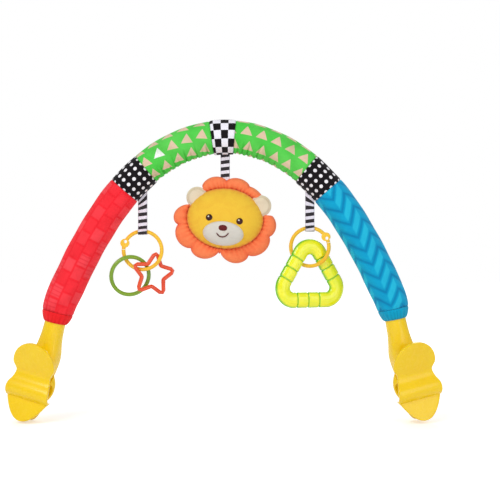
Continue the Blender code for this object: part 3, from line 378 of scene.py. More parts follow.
def cloth_map_of(tree):
    """Metres along the arch and metres round it, from the cloth's map."""
    split = add(tree, "SeparateXYZ", {"Vector": add(tree, "UVMap", uv_map="cloth").outputs["UV"]})
    return split.outputs["X"], split.outputs["Y"]


def ribs_of(tree, value, pitch):
    """Even ribs at that pitch, from -1 to 1."""
    return calc(tree, "SINE", calc(tree, "MULTIPLY", value, 2 * math.pi / pitch))


def weave_height(tree, along, around, pitch):
    """Over and under of a plain weave with threads of that pitch."""
    return calc(tree, "MULTIPLY", ribs_of(tree, along, pitch), ribs_of(tree, around, pitch))


def painted_shade_of(tree):
    """How much shade is painted at a place, from 0 to 1, in folds, seams, rims and grooves."""
    return add(tree, "Attribute", attribute_name="painted_shade").outputs["Fac"]


def in_shade(tree, tint, shade):
    """A tint as it looks deep in a fold."""
    return add(tree, "Mix", {"Factor": 1.0, "A": tint, "B": shade}, data_type="RGBA",
               blend_type="MULTIPLY").outputs["Result"]


def printed_cloth(name, pattern, pitch=0.0007, shade=(0.55, 0.55, 0.6, 1.0)):
    """Printed woven polyester: the print, random wear, painted shade in the folds and seams, the
    weave and a soft sheen.
    """
    material, tree, shader = new_material(name)
    along, around = cloth_map_of(tree)
    printed = pattern(tree, along, around)
    place = place_of(tree)
    wear = between(tree, noise(tree, place, 90.0, 4.0), 0.42, 0.8)
    # Random wear, and painted shade where folds and seams lie; both darken the print towards the
    # shade tint.
    tone_and_painted_shade = calc(tree, "MULTIPLY_ADD", wear, 0.10, calc(tree, "MULTIPLY", painted_shade_of(tree), 0.75))
    weave = calc(tree, "MULTIPLY", weave_height(tree, along, around, pitch), 0.5)
    height = calc(tree, "MULTIPLY_ADD", noise(tree, place, 140.0, 3.0), 2.2, weave)
    feed(tree, shader, {
        "Base Color": blend_colours(tree, tone_and_painted_shade, printed, in_shade(tree, printed, shade)),
        "Normal": bumps(tree, height, 0.25, 0.00035), "Roughness": 0.78,
        "Sheen Weight": 0.05, "Sheen Roughness": 0.5, "Specular IOR Level": 0.2})
    return material


def from_nearest(tree, value, origin, pitch):
    """How far a value is from the nearest place in an even row of them."""
    shifted = calc(tree, "ADD", value, pitch / 2 - origin)
    return calc(tree, "SUBTRACT", calc(tree, "FLOORED_MODULO", shifted, pitch), pitch / 2)


def step_of(tree, value, start, pitch):
    """Which step of an even row a value lies in, counted from start."""
    return calc(tree, "FLOOR", calc(tree, "DIVIDE", calc(tree, "SUBTRACT", value, start), pitch))


def triangle_print(first_place, white_place, row_pitch, first_row, lean, stagger):
    """Equilateral triangles in rows round the tube; one of them may be white."""
    corner_radius, place_pitch = 0.0075, 0.0174

    def pattern(tree, along, around):
        row = step_of(tree, around, first_row - row_pitch / 2, row_pitch)
        x = from_nearest(tree, calc(tree, "MULTIPLY_ADD", row, stagger, along), first_place,
                         place_pitch)
        y = from_nearest(tree, around, first_row, row_pitch)
        sides = [calc(tree, "MULTIPLY_ADD", x, math.cos(math.radians(lean + turn)),
                      calc(tree, "MULTIPLY", y, math.sin(math.radians(lean + turn))))
                 for turn in (0, 120, 240)]
        edge = calc(tree, "MAXIMUM", calc(tree, "MAXIMUM", sides[0], sides[1]), sides[2])
        inside = calc(tree, "SUBTRACT", corner_radius / 2, edge)
        drift = noise(tree, place_of(tree), 22.0)
        ground = blend_colours(tree, between(tree, drift, 0.35, 0.7), colour(76, 208, 72),
                               colour(98, 214, 88))
        tan = colour(229, 200, 172)
        if white_place is not None:
            near_along = calc(tree, "COMPARE", along, white_place, place_pitch / 2)
            near_around = calc(tree, "COMPARE", around, first_row, row_pitch / 2)
            tan = blend_colours(tree, calc(tree, "MULTIPLY", near_along, near_around), tan,
                                colour(252, 252, 250))
        return blend_colours(tree, between(tree, inside, -0.0003, 0.0002), ground, tan)
    return pattern


left_rows, right_rows = (math.radians(a) * sleeve_radius for a in (50.0, 52.0))
left_row, right_row = (math.radians(a) * sleeve_radius for a in (10.0, 20.0))
green_shade = (0.16, 0.50, 0.10, 1.0)
left_green_cloth = printed_cloth(
    "left_triangle_cloth", triangle_print(-0.0268, -0.0790, left_rows, left_row, 15.0, 0.0),
    shade=green_shade)
right_green_cloth = printed_cloth(
    "right_triangle_cloth", triangle_print(0.0226, None, right_rows, right_row, 30.0, 0.0052),
    shade=green_shade)


def dot_print(origin, around_origin):
    """White dots on black, on a square grid along the tube."""
    along_pitch, around_pitch, dot_radius = 0.00875, 0.0080, 0.0020

    def pattern(tree, along, around):
        x = from_nearest(tree, along, origin, along_pitch)
        y = from_nearest(tree, around, around_origin, around_pitch)
        away = calc(tree, "SQRT", calc(tree, "MULTIPLY_ADD", x, x, calc(tree, "MULTIPLY", y, y)))
        return blend_colours(tree, between(tree, away, dot_radius - 0.0002, dot_radius + 0.0003),
                             colour(250, 248, 252), colour(10, 2, 10))
    return pattern


dark_shade = (0.5, 0.48, 0.55, 1.0)
left_dots = printed_cloth("left_dotted_cloth", dot_print(-dots_end, -0.0013), shade=dark_shade)
right_dots = printed_cloth("right_dotted_cloth", dot_print(dots_end, 0.0037), shade=dark_shade)


def check_print(tree, along, around):
    """Black and white checks in four columns; the first column is cut by the seam."""
    check_along, check_around = 0.0079, 0.0098
    column = step_of(tree, along, checker_start + 0.0033, check_along)
    row = step_of(tree, around, -0.0034, check_around)
    odd = calc(tree, "FLOORED_MODULO", calc(tree, "ADD", column, row), 2.0)
    return blend_colours(tree, between(tree, odd, 0.4, 0.6), colour(244, 242, 252),
                         colour(9, 3, 9))


check_cloth = printed_cloth("checkered_cloth", check_print, pitch=0.0009, shade=dark_shade)

# Each fold: its place, depth, half width, run up the front and lean.
left_folds = [(-0.0945, 0.0006, 0.0016, 1.2, -0.002), (-0.0870, 0.0011, 0.0013, 1.5, 0.001),
              (-0.0775, 0.0010, 0.0012, 1.45, 0.002), (-0.0700, 0.0013, 0.0012, 1.6, 0.001),
              (-0.0618, 0.0008, 0.0012, 1.3, -0.001), (-0.0545, 0.0012, 0.0012, 1.55, 0.0015),
              (-0.0468, 0.0009, 0.0013, 1.3, 0.001), (-0.0392, 0.0012, 0.0012, 1.6, 0.0005),
              (-0.0318, 0.0008, 0.0012, 1.4, 0.001), (-0.0247, 0.0011, 0.0012, 1.5, 0.0)]
right_folds = [(0.0150, 0.0011, 0.0012, 1.5, 0.0), (0.0208, 0.0010, 0.0011, 1.6, 0.0005),
               (0.0272, 0.0013, 0.0012, 1.75, 0.001), (0.0345, 0.0007, 0.0012, 1.2, 0.0),
               (0.0402, 0.0013, 0.0012, 1.7, 0.0012), (0.0490, 0.0008, 0.0013, 1.2, 0.0),
               (0.0570, 0.0007, 0.0013, 1.1, 0.001), (0.0660, 0.0009, 0.0013, 1.2, 0.0),
               (0.0745, 0.0006, 0.0014, 1.0, 0.001), (0.0835, 0.0010, 0.0013, 1.3, 0.0),
               (0.0925, 0.0006, 0.0014, 1.0, 0.0)]


def stuffed(along, angles):
    """The slight unevenness of a hand-filled tube."""
    return (0.00016 * np.sin(along[:, None] * 170 + 2.1 * np.sin(angles * 2 + 0.6)[None, :])
            + 0.00012 * np.sin(along[:, None] * 83 + angles[None, :] * 3))


def green_relief(folds):
    """A stuffed section that gathers in these folds."""
    return lambda along, angles: stuffed(along, angles) + 1.25 * gathers(along, angles, folds)


def rippled(start, end, waves, depth, proud=0.0):
    """A stuffed section whose cloth ripples where thread draws it in along both end seams."""
    def relief(along, angles):
        near = (np.exp(-((along - start) / seam_reach) ** 2)
                + np.exp(-((along - end) / seam_reach) ** 2))
        ripple = depth * near[:, None] * np.cos(angles * waves)[None, :]
        return stuffed(along, angles) + ripple - proud
    return relief


def plain_radius(along):
    """The same radius all along."""
    return np.full(len(along), sleeve_radius)


sleeves = [
    ("left_green_sleeve", -triangle_end, checker_start, left_green_cloth,
     green_relief(left_folds)),
    ("right_green_sleeve", checker_end, triangle_end, right_green_cloth,
     green_relief(right_folds)),
    ("left_dotted_sleeve", -dots_end, -triangle_end, left_dots,
     rippled(-dots_end, -triangle_end, 15, 0.0002)),
    ("right_dotted_sleeve", triangle_end, dots_end, right_dots,
     rippled(triangle_end, dots_end, 15, 0.0002)),
    ("checkered_sleeve", checker_start, checker_end, check_cloth,
     rippled(checker_start, checker_end, 12, 0.0003, proud=0.0005)),
]
for name, start, end, cloth, relief in sleeves:
    piece = cloth_tube("cloth_" + name, start, end, plain_radius, sleeve_wall, relief,
                       pull=0.0013 if "green" in name else 0.0)
    fit(piece, cloth, "arch", name)


# The plush arms and their cuffs: the red arm on the left is embossed with blocks, the blue
# one on the right with chevrons. The cuffs are gathered tight round the necks of the clips.

cuff_seam_radius = 0.0178
cuff_mouth_radius = 0.0134
arm_taper_length = 0.026
cuff_wall = 0.0010
drawn_length, drawn_depth = 0.012, 0.00045
red_cuff_start = arch_half_length - 0.0125
blue_cuff_start = 0.2918
blue_cuff_end = right_half_length - 0.0020


def arm_radius(cuff_start):
    """An arm that narrows to its cuff's seam."""
    def radius(along):
        late = np.clip((abs(along) - cuff_start + arm_taper_length) / arm_taper_length, 0, 1)
        return sleeve_radius - (sleeve_radius - cuff_seam_radius) * late ** 2
    return radius


def cuff_radius(cuff_start, cuff_end):
    """A cuff that closes on the clip's neck."""
    def radius(along):
        share = np.clip((abs(along) - cuff_start) / (cuff_end - cuff_start), 0, 1)
        return cuff_seam_radius - (cuff_seam_radius - cuff_mouth_radius) * share ** 1.6
    return radius


def plush(name, pattern, shade, sheen_tint):
    """Short-pile plush: embossed pattern, brushed pile that is darker where it lies down, and
    painted shade in folds, pleats and seams.
    """
    material, tree, shader = new_material(name)
    along, around = cloth_map_of(tree)
    pile, height = pattern(tree, along, around)
    place = place_of(tree)
    brushed = between(tree, noise(tree, place, 55.0, 3.0, 0.8), 0.4, 0.7)
    # Brushed tone at random, and painted shade where folds, pleats and seams lie.
    tone_and_painted_shade = calc(tree, "MULTIPLY_ADD", brushed, 0.22,
                  calc(tree, "MULTIPLY", painted_shade_of(tree), 0.8))
    hairs = calc(tree, "MULTIPLY_ADD", noise(tree, place, 1500.0), 0.35, height)
    feed(tree, shader, {
        "Base Color": blend_colours(tree, tone_and_painted_shade, pile, in_shade(tree, pile, shade)),
        "Normal": bumps(tree, hairs, 0.45, 0.0008), "Roughness": 0.9,
        "Specular IOR Level": 0.2, "Sheen Weight": 0.2, "Sheen Roughness": 0.45,
        "Sheen Tint": sheen_tint})
    return material


def from_middle(tree, value):
    """How far a value is from the middle of its whole step, 0 to 0.5."""
    return calc(tree, "ABSOLUTE", calc(tree, "SUBTRACT", calc(tree, "FRACT", value), 0.5))


def block_pattern(tree, along, around):
    """Embossed blocks of two sizes whose pile catches the light differently."""
    cell_along, cell_around = 0.0165, 0.0136
    row = step_of(tree, around, 0.0, cell_around)
    stagger = calc(tree, "MULTIPLY", calc(tree, "FLOORED_MODULO", row, 2.0), cell_along * 0.37)
    shifted = calc(tree, "DIVIDE", calc(tree, "ADD", along, stagger), cell_along)
    column = calc(tree, "FLOOR", shifted)
    tone = add(tree, "TexWhiteNoise", {"Vector": add(
        tree, "CombineXYZ", {"X": column, "Y": row, "Z": 3.0}).outputs["Vector"]},
        noise_dimensions="3D").outputs["Value"]
    rim = calc(tree, "MAXIMUM", from_middle(tree, shifted),
               from_middle(tree, calc(tree, "DIVIDE", around, cell_around)))
    raised = calc(tree, "SUBTRACT", 1.0, between(tree, rim, 0.36, 0.50))
    light = blend_colours(tree, between(tree, tone, 0.25, 0.75), colour(255, 48, 60),
                          colour(255, 72, 82))
    bars = between(tree, ribs_of(tree, along, 2 * math.pi / 1400), 0.1, 0.7)
    barred = calc(tree, "MULTIPLY", bars, between(tree, tone, 0.78, 0.82))
    light = blend_colours(tree, calc(tree, "MULTIPLY", barred, 0.4), light,
                          colour(228, 30, 48))
    return (blend_colours(tree, raised, colour(250, 36, 50), light),
            calc(tree, "MULTIPLY", raised, 0.5))


def chevron_pattern(tree, along, around):
    """Embossed chevrons that point along the arm to its clip, in three tones."""
    wave, band, apex = 0.031, 0.0174, -0.0039
    from_apex = from_nearest(tree, around, apex, wave)
    away = calc(tree, "ABSOLUTE", from_apex)
    peak = from_middle(tree, calc(tree, "DIVIDE", calc(tree, "ADD", along, away), band))
    light = between(tree, peak, 0.18, 0.30)
    dark = calc(tree, "SUBTRACT", 1.0, between(tree, peak, 0.05, 0.16))
    bright_arm = between(tree, from_apex, -0.0012, 0.0012)
    pale = blend_colours(tree, bright_arm, colour(6, 168, 214), colour(34, 190, 226))
    tint = blend_colours(tree, light, colour(2, 160, 208), pale)
    tint = blend_colours(tree, dark, tint, colour(0, 136, 188))
    return tint, calc(tree, "MULTIPLY", light, 0.8)


def even_pattern(base):
    """One colour, with the faint ribs of a knitted cuff."""
    def pattern(tree, along, around):
        ribs = ribs_of(tree, around, 0.0017)
        return base, calc(tree, "MULTIPLY", ribs, 0.3)
    return pattern


def cuff_gathers(waves, depth):
    """Pleats that run from a cuff's seam to its mouth, deeper towards the mouth."""
    def relief(along, angles):
        share = (abs(along) - abs(along).min()) / (np.ptp(abs(along)) + 1e-9)
        phase = angles * waves + 0.8 * np.sin(angles * 3) + 0.5 * np.sin(angles * 7)
        pleat = (0.5 - 0.5 * np.cos(phase)) ** 1.5
        return depth * (0.25 + 0.75 * share)[:, None] * pleat[None, :]
    return relief


def arm_relief(cuff_start, waves):
    """A smooth stuffed arm whose end is drawn into the cuff's seam."""
    def relief(along, angles):
        late = np.clip((abs(along) - cuff_start + drawn_length) / drawn_length, 0, 1) ** 2
        drawn = drawn_depth * late[:, None] * (0.5 - 0.5 * np.cos(angles * waves))[None, :]
        return stuffed(along, angles) + drawn
    return relief


red_pile = plush("red_plush", block_pattern, (0.72, 0.25, 0.35, 1.0), (1.0, 0.55, 0.5, 1.0))
blue_pile = plush("blue_plush", chevron_pattern, (0.35, 0.68, 0.82, 1.0), (0.5, 0.9, 1.0, 1.0))
red_cuff_pile = plush("red_cuff_plush", even_pattern(colour(255, 36, 44)),
                      (0.7, 0.3, 0.3, 1.0), (1.0, 0.5, 0.45, 1.0))
blue_cuff_pile = plush("blue_cuff_plush", even_pattern(colour(0, 168, 212)),
                       (0.25, 0.6, 0.65, 1.0), (0.7, 1.0, 1.0, 1.0))
red_arm, blue_arm = arm_radius(red_cuff_start), arm_radius(blue_cuff_start)
red_cuff = cuff_radius(red_cuff_start, arch_half_length)
blue_cuff = cuff_radius(blue_cuff_start, blue_cuff_end)
arms = [
    ("red_sleeve", -red_cuff_start, -dots_end, red_arm, sleeve_wall, red_pile,
     arm_relief(red_cuff_start, 22)),
    ("blue_sleeve", dots_end, blue_cuff_start, blue_arm, sleeve_wall, blue_pile,
     arm_relief(blue_cuff_start, 22)),
    ("red_cuff", -arch_half_length, -red_cuff_start, red_cuff, cuff_wall, red_cuff_pile,
     cuff_gathers(20, 0.0006)),
    ("blue_cuff", blue_cuff_start, blue_cuff_end, blue_cuff, cuff_wall, blue_cuff_pile,
     cuff_gathers(24, 0.0007)),
]
for name, start, end, radius, wall, cloth, relief in arms:
    fit(cloth_tube("plush_" + name, start, end, radius, wall, relief), cloth, "arch", name)


# The spring clips: two moulded half shells closed with four screws, a lever on a steel pin
# and a torsion spring that closes it. Shells and lever are opaque yellow ABS. The lever is
# one bent plate: thumb disc, waist, front jaw and nose.

clip_yellow = moulded_plastic("clip_yellow_plastic", colour(252, 213, 12),
                              colour(249, 208, 8), 0.26, coat=0.3, glow=0.06)
neck_radius, neck_inside_cuff, body_bottom = 0.0120, 0.008, 0.066
clip_length = 0.1145
eye_reach, eye_drop, eye_radius = 0.012, 0.078, 0.0105
eye_stretch, eye_sag, jaw_gap = 1.15, 0.18, 0.0008
lever_thickness, rear_thickness, rear_root = 0.0032, 0.0036, 0.008
disc_radius = 0.0268
disc_top, waist = np.array([0.0350, 0.0256]), np.array([0.0196, 0.0614])
waist_half, front_jaw_half, rear_jaw_half = 0.0216, 0.0275, 0.0195
lip_drop, front_lip, rear_lip, nose_flare = 0.0902, 0.0100, 0.0075, 0.0055
pin_reach, pin_drop, pin_bore = 0.0085, 0.0575, 0.0017
ear_inner, ear_thickness, ear_radius = 0.0136, 0.0024, 0.0042
plate_rim, plate_crown = 0.0011, 0.00025
swivel_bore, collar_bore, screw_bore, screw_head_bore = 0.0068, 0.0091, 0.00145, 0.0029
screw_places = ((0.0070, 0.0330), (-0.0070, 0.0330), (-0.0065, 0.0480), (-0.0005, 0.0600))
half_gap = 0.00004


def eased(values, first, last, times):
    """The values with the run from first to last smoothed."""
    values = np.array(values, float)
    for _ in range(times):
        values[first:last] = (values[first - 1:last - 1] + 2 * values[first:last]
                              + values[first + 1:last + 1]) / 4
    return values


def bent_plate(name, stations):
    """A moulded plate from stations of front, back and half width. Its rim is rounded and its
    front is crowned a little."""
    rim_turns = np.radians([-75, -50, -25, 0, 25, 50, 75])
    face = np.linspace(-1, 1, 11)
    rings = []
    for station in np.asarray(stations):
        front, back, half = station[:2], station[2:4], station[4]
        rim = min(plate_rim, half * 0.85)
        bulge = half - rim + rim * np.cos(rim_turns) ** 0.7
        x = np.concatenate([(half - rim) * face, bulge, (half - rim) * face[::-1], -bulge])
        through = np.concatenate([np.zeros(11), 0.5 + 0.5 * np.sin(rim_turns), np.ones(11),
                                  0.5 - 0.5 * np.sin(rim_turns)])
        crown = plate_crown * (1 - (x / half) ** 2) * (through < 0.01)
        outward = (front - back) / np.linalg.norm(front - back)
        line = front + (back - front) * through[:, None] + outward * crown[:, None]
        rings.append(np.stack([x, -line[:, 0], -line[:, 1]], -1))
    return skin(name, rings)


def nose_stations(centre_reach, side, lip_reach, lip_half, thickness):
    """The lip that closes the eye and the nose that flares below it."""
    outer = np.array([centre_reach + side * lip_reach, lip_drop])
    inner = np.array([centre_reach, eye_drop + eye_radius])
    run = np.array([side * nose_flare, clip_length - lip_drop])
    ahead = run / np.linalg.norm(run)
    through = np.array([-side * ahead[1], side * ahead[0]]) * thickness
    rows = [(outer, inner, lip_half)]
    for taper in np.linspace(0.97, 0.04, 26):
        point = outer + run * (1 - taper ** 2)
        rows.append((point, point + through, lip_half * taper * (1 + 0.06 * (1 - taper))))
    return [(*(a if side > 0 else b), *(b if side > 0 else a), w) for a, b, w in rows]


def lever_stations():
    """The lever's plate from the top of its disc to the tip of its nose."""
    slant = waist - disc_top
    run = np.linalg.norm(slant)
    slant /= run
    through = np.array([slant[1], -slant[0]]) * lever_thickness / 2
    levels = [(disc_radius * (1 - math.cos(a)), disc_radius * math.sin(a))
              for a in np.radians(np.arange(3, 91, 3))]
    levels += [(disc_radius + (run - disc_radius) * share,
                disc_radius + (waist_half - disc_radius) * (1 - math.cos(math.pi * share)) / 2)
               for share in np.linspace(0, 1, 13)[1:]]
    rows = [(*(disc_top + slant * along + through), *(disc_top + slant * along - through), half)
            for along, half in levels]
    on_disc = len(rows)
    centre = np.array([eye_reach + jaw_gap / 2, eye_drop])
    for degrees in range(52, -53, -4):
        c, s = math.cos(math.radians(degrees)), math.sin(math.radians(degrees))
        radial = np.array([c * eye_stretch, c * eye_sag - s])
        share = np.interp(degrees, (-60, -40, -18, 4, 26, 48), (0.95, 0.98, 1, 1, 0.85, 0.45))
        rows.append((*(centre + radial * (eye_radius + lever_thickness)),
                     *(centre + radial * eye_radius),
                     waist_half + (front_jaw_half - waist_half) * share))
    rows += nose_stations(centre[0], 1, front_lip, rows[-1][4] * 0.95, lever_thickness)
    return eased(rows, on_disc - 6, len(rows) - 30, 5)


def rear_jaw_stations():
    """The fixed jaw behind the eye, thick at its root."""
    centre = np.array([eye_reach - jaw_gap / 2, eye_drop])
    rows = []
    angles = (-60, -40, -18, 18, 42, 62)
    for degrees in range(62, -57, -4):
        radial = -np.array([math.cos(math.radians(degrees)), math.sin(math.radians(degrees))])
        root = np.interp(degrees, angles, (0, 0, 0, 0.05, 0.42, 1.0))
        share = np.interp(degrees, angles, (0.78, 0.85, 0.93, 1.0, 0.97, 0.84))
        rows.append((*(centre + radial * eye_radius),
                     *(centre + radial * (eye_radius + rear_thickness + rear_root * root)),
                     rear_jaw_half * share))
    rows += nose_stations(centre[0], -1, rear_lip, rows[-1][4] * 0.97, rear_thickness)
    return eased(rows, 2, len(rows) - 30, 3)


def tool_piece(shape):
    """A shape to cut or join with."""
    bmesh.ops.recalc_face_normals(shape, faces=shape.faces)
    mesh = bpy.data.meshes.new("tool")
    shape.to_mesh(mesh)
    shape.free()
    return placed("tool", mesh)


def peg(radius, start, end, sides=40):
    """A round tool between two points."""
    shape = bmesh.new()
    run = Vector(end) - Vector(start)
    turn = run.to_track_quat("Z", "Y").to_matrix().to_4x4()
    bmesh.ops.create_cone(shape, cap_ends=True, segments=sides, radius1=radius, radius2=radius,
                          depth=run.length,
                          matrix=Matrix.Translation((Vector(end) + Vector(start)) / 2) @ turn)
    return tool_piece(shape)


def block(low, high):
    """A square tool between two corners."""
    shape = bmesh.new()
    size = Vector(high) - Vector(low)
    matrix = Matrix.Translation((Vector(low) + Vector(high)) / 2) @ Matrix.Diagonal((*size, 1.0))
    bmesh.ops.create_cube(shape, size=1.0, matrix=matrix)
    return tool_piece(shape)


def prism(outline, low, high):
    """A web of constant outline between two widths of the clip."""
    shape = bmesh.new()
    ends = [[shape.verts.new((x, -reach, -drop)) for reach, drop in outline] for x in (low, high)]
    for step in range(len(outline)):
        after = (step + 1) % len(outline)
        shape.faces.new((ends[0][step], ends[0][after], ends[1][after], ends[1][step]))
    shape.faces.new(ends[0][::-1])
    shape.faces.new(ends[1])
    return tool_piece(shape)


def worked(piece, steps):
    """The piece after its tools are joined to it or cut from it, in turn."""
    for operation, tool in steps:
        step = piece.modifiers.new("step", "BOOLEAN")
        step.operation, step.solver, step.object = operation, "EXACT", tool
    bpy.context.view_layer.update()
    mesh = bpy.data.meshes.new_from_object(
        piece.evaluated_get(bpy.context.evaluated_depsgraph_get()))
    piece.modifiers.clear()
    piece.data = mesh
    mesh.shade_smooth()
    mesh.set_sharp_from_angle(angle=math.radians(38.0))
    for _, tool in steps:
        bpy.data.objects.remove(tool, do_unlink=True)
    return piece


def at_clip(x, reach, drop):
    """A place on the clip from how far it is across, to the front and below the neck's top."""
    return (x, -reach, -drop)


def whole_lever():
    """The plate with the two ears that turn on the pin."""
    slope = (disc_top[0] - waist[0]) / (waist[1] - disc_top[1])
    root_top, root_bottom = pin_drop - ear_radius * 1.6, pin_drop + ear_radius * 1.4
    outline = [(waist[0] + (waist[1] - root_top) * slope, root_top)]
    outline += [(pin_reach + ear_radius * math.cos(a), pin_drop - ear_radius * math.sin(a))
                for a in np.radians(np.arange(105, 266, 10))]
    outline.append((waist[0], root_bottom))
    steps = [("UNION", prism(outline, side * ear_inner, side * (ear_inner + ear_thickness)))
             for side in (-1, 1)]
    steps.append(("DIFFERENCE", peg(pin_bore, at_clip(-0.03, pin_reach, pin_drop),
                                    at_clip(0.03, pin_reach, pin_drop))))
    return worked(bent_plate("lever", lever_stations()), steps)


def whole_housing():
    """Neck, body and rear jaw in one, with the swivel's bore and the pin's and screws' holes."""
    # Each section: drop, width, depth and forward shift in neck radii, and squareness.
    sections = np.array([
        (-0.008, 0.975, 0.975, 0.0, 2.0), (0.0, 1.0, 1.0, 0.0, 2.0),
        (0.015, 1.042, 1.017, 0.0, 2.1), (0.025, 1.133, 1.05, 0.0, 2.4),
        (0.035, 1.267, 1.083, 0.0, 2.9), (0.044, 1.25, 1.10, 0.0, 3.4),
        (0.052, 1.10, 1.067, 0.0, 4.0), (0.0585, 1.083, 0.983, 0.083, 4.0),
        (0.066, 1.15, 0.70, 0.35, 3.6)])
    drops = np.linspace(-neck_inside_cuff, body_bottom, 60)
    table = np.stack([np.interp(drops, sections[:, 0], column) for column in sections.T], -1)
    table = eased(table, 8, 59, 12)
    angles = turns_round(80) + math.pi / 80
    c, s = np.cos(angles), np.sin(angles)
    spring_pocket = (at_clip(-0.0052, 0.016, 0.0625), at_clip(0.0052, 0.0044, 0.046))
    rings = []
    for drop, width, depth, forward, square in table:
        x = neck_radius * width * np.sign(c) * abs(c) ** (2 / square)
        y = neck_radius * (depth * np.sign(s) * abs(s) ** (2 / square) - forward)
        rings.append(np.stack([x, y, np.full_like(x, -drop)], -1))
    steps = [("UNION", bent_plate("rear_jaw", rear_jaw_stations())),
             ("DIFFERENCE", peg(collar_bore, (0, 0, -0.0243), (0, 0, -0.0207))),
             ("DIFFERENCE", peg(swivel_bore, (0, 0, -0.0240), (0, 0, 0.0130))),
             ("DIFFERENCE", block(*spring_pocket)),
             ("DIFFERENCE", peg(pin_bore, at_clip(-0.03, pin_reach, pin_drop),
                                at_clip(0.03, pin_reach, pin_drop)))]
    for reach, drop in screw_places:
        steps.append(("DIFFERENCE", peg(screw_bore, at_clip(-0.024, reach, drop),
                                        at_clip(0.0093, reach, drop), 24)))
        steps.append(("DIFFERENCE", peg(screw_head_bore, at_clip(-0.024, reach, drop),
                                        at_clip(-0.0096, reach, drop), 32)))
    return worked(skin("housing", rings), steps)


def bright_steel(name, roughness):
    """Drawn steel wire and zinc-plated screws."""
    material, tree, shader = new_material(name)
    streaks = noise(tree, place_of(tree), 800.0, 4.0)
    feed(tree, shader, {
        "Base Color": blend_colours(tree, streaks, colour(176, 178, 182), colour(204, 204, 206)),
        "Roughness": calc(tree, "MULTIPLY_ADD", streaks, 0.15, roughness), "Metallic": 1.0})
    return material


lever_blank = whole_lever()
housing_blank = whole_housing()
shell_blanks = {}
for shell, side in (("screwed_shell", -1), ("plain_shell", 1)):
    half = placed("half", housing_blank.data.copy())
    limits = sorted((side * half_gap, -side * 0.1))
    shell_blanks[shell] = worked(half, [("DIFFERENCE", block((limits[0], -0.15, -0.2),
                                                             (limits[1], 0.15, 0.1)))])
pin_steel = bright_steel("pin_steel", 0.18)
spring_steel = bright_steel("spring_steel", 0.24)
screw_steel = bright_steel("zinc_plated_steel", 0.3)
for side, end, lean, turn, hand in (("left", -arch_half_length, left_clip_lean, -19.0, 1),
                                    ("right", right_half_length, -right_clip_lean, 19.0, -1)):
    neck = (Matrix.Translation(Vector(along_bow([end])[0][0])) @ Matrix.Rotation(lean, 4, "Y")
            @ Matrix.Rotation(math.radians(turn), 4, "Z"))
    for part, blank, body in (("plain_shell", shell_blanks["plain_shell"], "clip"),
                              ("screwed_shell", shell_blanks["screwed_shell"], "clip"),
                              ("lever", lever_blank, "lever")):
        mesh = blank.data.copy()
        mesh.transform(neck @ Matrix.Diagonal((hand, 1, 1, 1)))
        if hand < 0:
            mesh.flip_normals()
        mesh.materials.clear()
        fit(placed(f"moulded_{side}_{part}", mesh), clip_yellow, f"{side}_{body}",
            f"{side}_clip_{part}")
    dress(f"{side}_clip_pin", pin_steel)
    dress(f"{side}_clip_spring", spring_steel)
    for number in (1, 2, 3, 4):
        dress(f"{side}_clip_screw_{number}", screw_steel)
for blank in (lever_blank, housing_blank, *shell_blanks.values()):
    bpy.data.objects.remove(blank, do_unlink=True)


# The ribbons: black and white striped grosgrain, doubled and sewn into the arch's seam. The
# two side ones end in a loop for a snap link, and the middle one is sewn into the lion.

ribbon_width = 0.0105
ribbon_layer = 0.0006
ribbon_gap = 0.0002
ribbon_loop = 0.0037
ribbon_root = 0.0207
lion_ribbon_length = 0.0294
side_ribbon_place, lion_ribbon_place = 0.1278, -0.0015
ribbon_stripe = 0.0077
sewn_in = 0.0036


def striped_grosgrain():
    """Woven stripes and the cross ribs of grosgrain; white picks up the violet of the yarn."""
    material, tree, shader = new_material("striped_grosgrain")
    along, across = cloth_map_of(tree)
    slanted = calc(tree, "MULTIPLY_ADD", across, 0.12, along)
    black = between(tree, from_middle(tree, calc(tree, "DIVIDE", slanted, ribbon_stripe)),
                    0.22, 0.25)
    stripe = blend_colours(tree, black, colour(238, 232, 244), colour(20, 8, 18))
    ribs = ribs_of(tree, along, 0.0008)
    edge = between(tree, calc(tree, "ABSOLUTE", across), 0.0040, 0.0052)
    feed(tree, shader, {
        "Base Color": blend_colours(tree, calc(tree, "MULTIPLY", edge, 0.35), stripe,
                                    colour(150, 140, 165)),
        "Normal": bumps(tree, ribs, 0.3, 0.0002), "Roughness": 0.7, "Sheen Weight": 0.15})
    return material


def ribbon_start(along):
    """The sewn line under the tube: its middle and the way the tube runs there."""
    points, tangents, outwards = along_bow([along])
    return Vector(points[0] - outwards[0] * ribbon_root), Vector(tangents[0])


